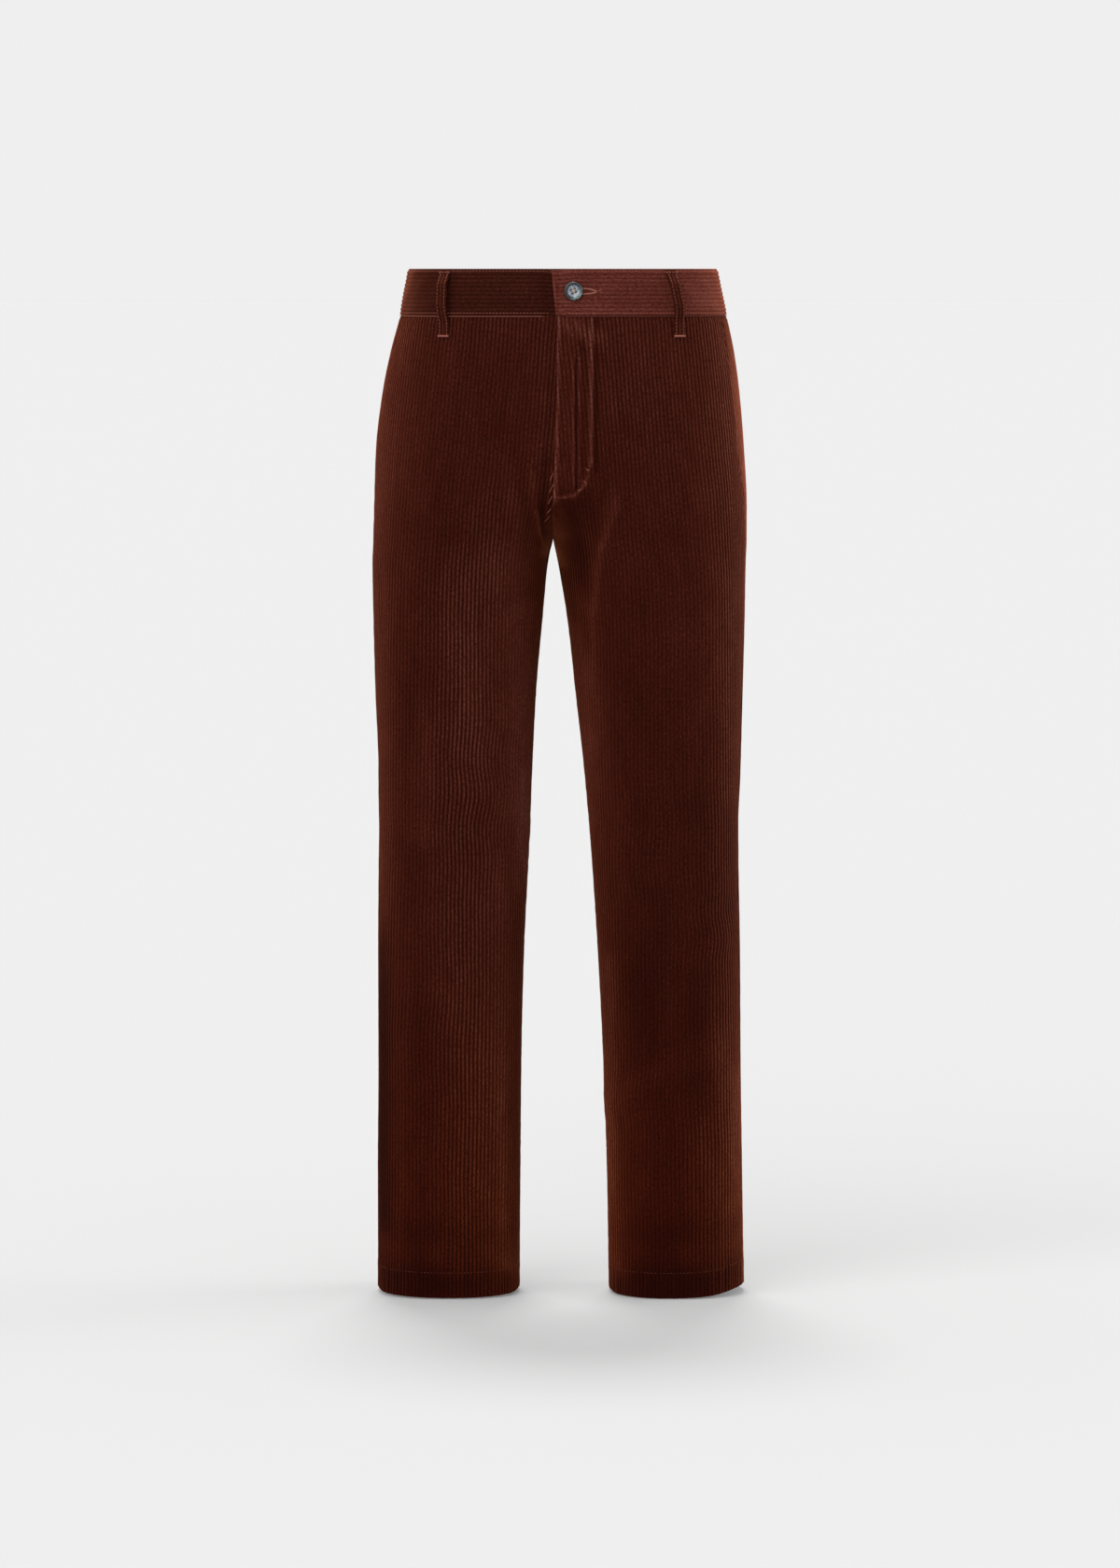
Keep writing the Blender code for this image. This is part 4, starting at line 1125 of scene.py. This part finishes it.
def fly_sewing():
    """The fly's curved row of stitches, and its single threads, each of two strands."""
    row = on_panel(LEFT, FRONT, smooth_path(FLY_STITCHES, 2 * PATH_STEP), PANEL_LIFT)
    sew("fly_sewing", [stitch_row(*row)], "thread_dark")
    parts = []
    for side, tacks in FLY_TACKS.items():
        for tack in tacks:
            (start, end), out = on_panel(side, FRONT, np.array(tack) * MM, WALE_RELIEF / 2)
            aside = np.cross(out[0], (end - start) / np.linalg.norm(end - start)) * THREAD
            strands = [(start + aside * share, end + aside * share, out[0]) for share in STRANDS]
            parts.append(capsules(strands, STRAND))
    sew("fly_tacks", parts, "thread_loops")


def hem_sewing(side):
    """The row of stitches that holds one leg's turned-up hem, all round."""
    parts = []
    for face in (FRONT, BACK):
        line = cloth_line(side, face, HEM_STITCH)
        places = np.arange(PATH_STEP, line.length - PATH_STEP, PATH_STEP)
        points = on_cloth(side, face, line, places, PANEL_LIFT)
        out = columns(*read_line(line, places)[2:], 0.0)
        parts.append(stitch_row(points, out))
    sew(f"hem_sewing_{SIDE_NAMES[side]}", parts, "thread_dark")


def band_sewing(side):
    """Rows of stitches along the band's top and above its seam, and the thread that shows in the seam."""
    whole = BAND_LINES[side][0].along[-1]
    lap = BAND_LAP[side][0] + (PATH_STEP if side == RIGHT else 0)
    places = np.arange(2 * PATH_STEP, whole - lap - 3 * PATH_STEP, PATH_STEP) / whole
    parts = []
    for height in BAND_STITCHES:
        cord = (cord_height((height - WAIST_SEAM) / WALE_PITCH) - 0.5) * WALE_RELIEF
        points = band_point(side, places, band_relief(side, places, height, whole) + cord, height)
        parts.append(stitch_row(points, level_normals(points, side), radius=BAND_THREAD))
    sew(f"waistband_{SIDE_NAMES[side]}_sewing", parts, "thread_loops")
    seam = band_point(side, places, SEAM_THREAD_OUT, WAIST_SEAM - SEAM_THREAD_DROP)
    row = stitch_row(seam, level_normals(seam, side), **SEAM_THREAD)
    sew(f"waist_seam_{SIDE_NAMES[side]}", [row], "thread_loops" if side == RIGHT else "thread_dark")


def level_normals(points, side):
    """Outward directions of a level path that runs round the waist."""
    tangent = np.gradient(points, axis=0)
    tangent /= np.linalg.norm(tangent, axis=1)[:, None]
    return side * columns(-tangent[:, 1], tangent[:, 0], 0.0)


def band_end_sewing():
    """Upright stitches at the band's front end and the small box beside them."""
    line = BAND_LINES[LEFT][0]
    parts = []
    for start, end, count in BAND_END_ROWS:
        inwards, heights = np.linspace(start, end, count).T * MM
        places = line.along[-1] - inwards
        shares = places / line.along[-1]
        points = [band_point(LEFT, [share], 0.0, height)[0] for share, height in zip(shares, heights)]
        out = columns(*read_line(line, places)[2:], 0.0)
        parts.append(stitch_row(np.array(points), out))
    sew("waistband_end_sewing", parts, "thread_dark")


# ================================================================ button and buttonhole
def button_frame():
    """The button's place and its turn: its own +Z points out of the band."""
    x, z = BUTTON_CENTRE
    spot, out = waist_spot(FRONT, x, z)
    spot = spot + out * (BAND_PROUD + WALE_RELIEF / 2 + BUTTON_SHANK)
    return (*spot, z), (math.pi / 2, 0, math.atan2(out[1], out[0]) + math.pi / 2)


def hole_centres():
    """The four holes' middles in the button's own plane."""
    angles = [BUTTON_HOLE_TURN + (corner + 0.5) * math.pi / 2 for corner in range(4)]
    return [(math.cos(angle) * BUTTON_HOLE_SPREAD, math.sin(angle) * BUTTON_HOLE_SPREAD) for angle in angles]


def turned_disc():
    """The button's outline turned round."""
    turned = bmesh.new()
    angles = [TURN * step / BUTTON_STEPS for step in range(BUTTON_STEPS)]
    following = (*range(1, BUTTON_STEPS), 0)
    rings = []
    for radius, height in np.array(BUTTON_PROFILE[1:-1]) * MM:
        rings.append([turned.verts.new((radius * math.cos(a), radius * math.sin(a), height)) for a in angles])
    for upper, lower in zip(rings, rings[1:]):
        for i, j in enumerate(following):
            turned.faces.new((upper[i], lower[i], lower[j], upper[j]))
    for end in (0, -1):
        middle = turned.verts.new((0, 0, BUTTON_PROFILE[end][1] * MM))
        for i, j in enumerate(following):
            turned.faces.new((middle, rings[end][i], rings[end][j]))
    bmesh.ops.recalc_face_normals(turned, faces=turned.faces)
    data = bpy.data.meshes.new("button_disc")
    turned.to_mesh(data)
    turned.free()
    return data


def drill(piece):
    """Cut the button's holes."""
    drills = []
    for x, y in hole_centres():
        bpy.ops.mesh.primitive_cylinder_add(
            vertices=DRILL_SIDES, radius=BUTTON_HOLE_RADIUS, depth=DRILL_DEPTH, location=(x, y, 0)
        )
        drills.append(bpy.context.active_object)
        cut = piece.modifiers.new("hole", "BOOLEAN")
        cut.operation = "DIFFERENCE"
        cut.solver = "EXACT"
        cut.object = drills[-1]
    depsgraph = bpy.context.evaluated_depsgraph_get()
    data = bpy.data.meshes.new_from_object(piece.evaluated_get(depsgraph))
    piece.modifiers.clear()
    piece.data = data
    for tool in drills:
        bpy.data.objects.remove(tool)


def button():
    """The horn button."""
    piece = place("button_disc", turned_disc(), ["horn"])
    drill(piece)
    piece.data.shade_smooth()
    piece.data.set_sharp_from_angle(angle=SHARP_HORN)
    piece.location, piece.rotation_euler = button_frame()
    dress(piece, "horn", "button")


def button_sewing():
    """Two crossing bundles of three pale strands that hold the button."""
    parts = []
    up = np.array((0.0, 0.0, 1.0))
    holes = [np.array((*hole, BUTTON_THREAD_TOP - BUTTON_THREAD_DIP)) for hole in hole_centres()]
    for a, b, rise in BUTTON_STRANDS:
        ahead = holes[b] - holes[a]
        aside = np.array((-ahead[1], ahead[0], 0)) / np.linalg.norm(ahead)
        for strand in (-1, 0, 1):
            shift = aside * strand * BUTTON_THREADS_APART
            middle = up * (BUTTON_THREAD_TOP + rise) + shift
            halves = [(holes[end] + shift * BUTTON_THREADS_MEET, middle, up) for end in (a, b)]
            parts.append(capsules(halves, BUTTON_THREAD))
    sew("button_thread", parts, "thread_pale", *button_frame())


def on_band(path, lift):
    """Points and outward directions on the band's front along a path of (x, height)."""
    points, normals = [], []
    for x, height in path:
        spot, out = waist_spot(FRONT, x, height)
        points.append((*(spot + out * (BAND_PROUD + lift)), height))
        normals.append((*out, 0.0))
    return np.array(points), np.array(normals)


def buttonhole():
    """Close stitches round the buttonhole's far end, which shows beside the button."""
    parts = []
    for keys in BUTTONHOLE:
        points, normals = on_band(smooth_path(keys, BUTTONHOLE_APART), BUTTONHOLE_LIFT)
        for point, onward, out in zip(points, points[1:], normals):
            ahead = onward - point
            half = np.cross(out, ahead / np.linalg.norm(ahead)) * BUTTONHOLE_HALF
            parts.append(capsules([(point - half, point + half, out)], HOLE_THREAD))
    tail = on_band(smooth_path(BUTTONHOLE_TAIL, PATH_STEP), BUTTONHOLE_TAIL_LIFT)
    parts.append(stitch_row(*tail, **TAIL_THREAD))
    sew("buttonhole_sewing", parts, "thread")


# ================================================================ materials
class Nodes:
    """A material, and short ways to add and link its shader nodes."""

    def __init__(self, name):
        self.material = bpy.data.materials.new(name)
        self.material.use_nodes = True
        self.tree = self.material.node_tree

    def feed(self, socket, source):
        """Link a socket, or set its value. A colour is given without its alpha."""
        if isinstance(source, bpy.types.NodeSocket):
            self.tree.links.new(source, socket)
        else:
            socket.default_value = (*source, 1) if socket.type == "RGBA" else source

    def add(self, kind, inputs, **settings):
        """A node with its settings, and what its inputs are fed by name or number."""
        node = self.tree.nodes.new(f"ShaderNode{kind}")
        for key, value in settings.items():
            setattr(node, key, value)
        for key, source in inputs.items():
            self.feed(node.inputs[key], source)
        return node.outputs

    def math(self, operation, *sources, clamp=False):
        """A sum of one, two or three numbers."""
        return self.add("Math", dict(enumerate(sources)), operation=operation, use_clamp=clamp)[0]

    def split(self, vector):
        """A vector's three parts."""
        return self.add("SeparateXYZ", {0: vector})

    def layer(self, name):
        """A vector that the mesh carries."""
        return self.add("Attribute", {}, attribute_name=name)["Vector"]

    def noise(self, vector, scale, detail=2.0, roughness=0.5, stretch=(1, 1, 1)):
        """Noise in a stretched space."""
        looks = {"Scale": scale, "Detail": detail, "Roughness": roughness}
        return self.add("TexNoise", {0: self.add("Mapping", {0: vector, "Scale": stretch})[0], **looks})[0]

    def ramp(self, source, stops):
        """Colours between stops."""
        outputs = self.add("ValToRGB", {0: source})
        elements = self.tree.nodes[-1].color_ramp.elements
        while len(elements) < len(stops):
            elements.new(0.5)
        for element, (position, colour) in zip(elements, stops):
            element.position = position
            element.color = (*colour, 1)
        return outputs[0]

    def mix(self, share, first, second, blend="MIX"):
        """Two colours mixed."""
        return self.add("Mix", {0: share, 6: first, 7: second}, data_type="RGBA", blend_type=blend)[2]

    def bump(self, height, distance, strength=1.0):
        """A normal that a height bends."""
        return self.add("Bump", {"Height": height, "Distance": distance, "Strength": strength})[0]

    def surface(self, **sockets):
        """The material, its shader fed by its sockets' names with underscores."""
        for name, source in sockets.items():
            self.feed(self.tree.nodes["Principled BSDF"].inputs[name.replace("_", " ")], source)
        return self.material


def corduroy_material(name, groove, side_of_cord, crest, sheen):
    """Cut pile: dark grooves and lighter crests, partly painted shade and highlight, streaks and patches
    along the cords, the mesh's painted light and shade, a soft sheen.
    """
    made = Nodes(name)
    cloth = made.layer("cloth")
    lightness, crispness, gleam = made.split(made.layer("pile"))
    _, down, cord = made.split(cloth)
    tufts = made.noise(cloth, 900, 3, 0.6, (1.0, 0.55, 0))
    fuzz = made.noise(cloth, 620, 3, 0.6, (1.0, 0.50, 0))
    mottle = made.noise(cloth, 85, 2, 0.5, (1.0, 0.55, 0))
    streaks = made.noise(cloth, 130, 3, 0.55, (1.0, 0.22, 0))
    patches = made.noise(cloth, 13, 4, 0.6, (1.0, 0.35, 0))
    crisp = made.math("MULTIPLY", crispness, made.math("MULTIPLY_ADD", mottle, 1.5, 0.25))
    height = made.math("MULTIPLY_ADD", made.math("SUBTRACT", cord, CORD_MEAN), crisp, CORD_MEAN)
    height = made.math("MULTIPLY_ADD", made.math("SUBTRACT", tufts, 0.5), 0.5, height, clamp=True)
    # darker grooves and lighter crests: partly the weave between the cords, partly painted shade and
    # highlight
    base = made.ramp(height, list(zip(CORD_STOPS, (groove, side_of_cord, crest))))
    shade = made.math("MULTIPLY_ADD", streaks, 0.8, 0.60)
    shade = made.math("MULTIPLY", shade, made.math("MULTIPLY_ADD", patches, 1.0, 0.5))
    shade = made.math("MULTIPLY", shade, made.math("MULTIPLY_ADD", fuzz, 3.0, -0.5))
    # the mesh's painted light and shade: nap, creases, edges and the side seams' gleam
    shade = made.math("MULTIPLY", shade, lightness)
    tints = [made.math("POWER", shade, power) for power in HUE_BY_SHADE]
    tint = made.add("CombineXYZ", dict(enumerate(tints)))[0]
    base = made.mix(made.math("MULTIPLY_ADD", down, *WARMER_DOWN, clamp=True), base, WARM, "MULTIPLY")
    nap = made.math("MULTIPLY_ADD", streaks, 0.5, tufts)
    return made.surface(
        Base_Color=made.mix(1.0, base, tint, "MULTIPLY"), Roughness=0.85, Specular_IOR_Level=0.03,
        Sheen_Weight=made.math("ADD", gleam, sheen, clamp=True), Sheen_Roughness=0.42, Sheen_Tint=SHEEN,
        Normal=made.bump(nap, 0.00035, 0.9),
    )


def cloth_back_material():
    """The cloth's plain inside: a fine twill, paler than the pile."""
    made = Nodes("cloth_back")
    waves = {"Vector": made.layer("cloth"), "Scale": 420, "Distortion": 1.5}
    twill = made.add("TexWave", waves, wave_type="BANDS", bands_direction="DIAGONAL")["Fac"]
    colour = made.ramp(twill, TWILL)
    return made.surface(
        Base_Color=colour, Roughness=0.9, Specular_IOR_Level=0.15, Normal=made.bump(twill, 0.00015)
    )


def thread_material(name, colour, dark):
    """Spun thread: matt, with a fine twist."""
    made = Nodes(name)
    grain = made.noise(made.add("TexCoord", {})["Object"], 2600, 2, 0.6)
    colour = made.mix(grain, dark, colour)
    return made.surface(
        Base_Color=colour, Roughness=0.8, Specular_IOR_Level=0.12, Normal=made.bump(grain, 0.0001)
    )


def horn_hole_shade(made, inside, from_spot):
    """Painted shade in the button's four holes: its quarters folded onto one."""
    turning = {"Vector": inside, "Angle": -BUTTON_HOLE_TURN}
    turned = made.add("VectorRotate", turning, rotation_type="Z_AXIS")[0]
    aside = BUTTON_HOLE_SPREAD * math.sqrt(0.5)
    offsets = [made.math("SUBTRACT", made.math("ABSOLUTE", part), aside) for part in made.split(turned)[:2]]
    return made.math("MULTIPLY_ADD", from_spot(*offsets), *HORN_HOLE, clamp=True)


def horn_material():
    """Blue-grey horn: clouded, dark to one side and pale to the other, a lilac dish, painted shade on the
    dish's wall, at the rim's edge and in the holes.
    """
    made = Nodes("horn")
    inside = made.add("TexCoord", {})["Object"]
    clouds = made.noise(inside, 330, 4, 0.62, (1.0, 1.7, 1.0))
    x, y, _ = made.split(inside)

    def from_spot(across, up):
        squares = [made.math("POWER", value, 2.0) for value in (across, up)]
        return made.math("SQRT", made.math("ADD", *squares))

    def changing(value, slope_and_start):
        return made.math("MULTIPLY_ADD", value, *slope_and_start, clamp=True)

    slant = made.math("SUBTRACT", x, y)
    radius = from_spot(x, y)
    tone = made.math("MULTIPLY_ADD", slant, HORN_SLANT, made.math("MULTIPLY_ADD", clouds, *HORN_CLOUDS))
    dish = made.math("SUBTRACT", 1.0, changing(radius, HORN_DISH))
    colour = made.mix(dish, made.ramp(tone, HORN_RIM), made.ramp(clouds, HORN_LILAC))
    off_wall = made.math("ABSOLUTE", made.math("SUBTRACT", radius, HORN_WALL_AT))
    wall = made.math("MULTIPLY", changing(off_wall, HORN_WALL), changing(slant, HORN_WALL_SLANT))
    edge = made.math("MULTIPLY", changing(radius, HORN_EDGE), changing(slant, HORN_EDGE_SLANT))
    # painted shade on the dish's wall, at the rim's edge and in the holes
    for dark in (wall, edge, horn_hole_shade(made, inside, from_spot)):
        colour = made.mix(dark, colour, HORN_PAINTED_SHADE)
    return made.surface(
        Base_Color=colour, Roughness=0.3, Specular_IOR_Level=0.4, Coat_Weight=0.25, Coat_Roughness=0.1
    )


def make_materials():
    """Every material of the part, by name."""
    made = {name: corduroy_material(name, *looks) for name, looks in PILES.items()}
    made["cloth_back"] = cloth_back_material()
    made |= {name: thread_material(name, *colours) for name, colours in THREADS.items()}
    made["horn"] = horn_material()
    return made


# ================================================================ the studio
def surroundings():
    """A plain pale world."""
    world = bpy.data.worlds.new("surroundings")
    world.use_nodes = True
    world.node_tree.nodes["Background"].inputs["Color"].default_value = (BACKDROP, BACKDROP, BACKDROP, 1)
    bpy.context.scene.world = world
    bpy.context.scene.view_settings.view_transform = "Standard"


def lamps():
    """Soft light from the upper left, above and the side. Returns how much of it the floor gets."""
    lit = 0.0
    for name, strength, spread, aim in LIGHTS:
        data = bpy.data.lights.new(name, "SUN")
        data.energy = strength
        data.angle = math.radians(spread)
        lamp = bpy.data.objects.new(name, data)
        bpy.context.scene.collection.objects.link(lamp)
        x, y, z = aim
        lamp.rotation_euler = (math.atan2(math.hypot(x, y), -z), 0.0, math.atan2(y, x) - math.pi / 2)
        lit += strength * max(0.0, -z / math.hypot(*aim)) / math.pi
    return lit


def pale_floor(lit):
    """A floor just as pale as the surroundings, under that much light."""
    bpy.ops.mesh.primitive_plane_add(size=FLOOR_SIZE, location=(0, 0, HEM - FLOOR_DROP))
    floor = bpy.context.active_object
    floor.name = "floor"
    albedo = (BACKDROP - FLOOR_GLOW) / (BACKDROP + lit)
    colours = {"Base_Color": (albedo,) * 3, "Emission_Color": (1, 1, 1), "Emission_Strength": FLOOR_GLOW}
    floor.data.materials.append(Nodes("pale_floor").surface(Roughness=1.0, Specular_IOR_Level=0.0, **colours))


def photographer():
    """The photograph's camera."""
    data = bpy.data.cameras.new("camera")
    camera = bpy.data.objects.new("camera", data)
    bpy.context.scene.collection.objects.link(camera)
    camera.location = (CAMERA_X, -CAMERA_DISTANCE, 0.0)
    camera.rotation_euler = (math.pi / 2 - CAMERA_PITCH, 0.0, 0.0)
    data.sensor_width = 36
    data.lens = CAMERA_LENS
    data.clip_end = 4 * FLOOR_SIZE
    bpy.context.scene.camera = camera


# ================================================================ put together
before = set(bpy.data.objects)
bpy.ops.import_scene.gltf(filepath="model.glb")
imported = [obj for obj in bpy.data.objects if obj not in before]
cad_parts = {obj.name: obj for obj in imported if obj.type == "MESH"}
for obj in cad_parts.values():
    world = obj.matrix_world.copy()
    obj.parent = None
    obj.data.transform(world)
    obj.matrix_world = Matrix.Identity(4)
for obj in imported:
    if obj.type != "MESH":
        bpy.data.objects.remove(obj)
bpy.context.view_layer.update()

MATERIALS = make_materials()
for panel_side in (LEFT, RIGHT):
    waistband(panel_side)
    for panel_face in (FRONT, BACK):
        leg_panel(panel_side, panel_face)
    band_sewing(panel_side)
    hem_sewing(panel_side)
for loop_name, loop_face, loop_x in LOOPS:
    belt_loop(loop_name, loop_face, loop_x)
fly_sewing()
band_end_sewing()
button()
button_sewing()
buttonhole()
surroundings()
pale_floor(lamps())
photographer()
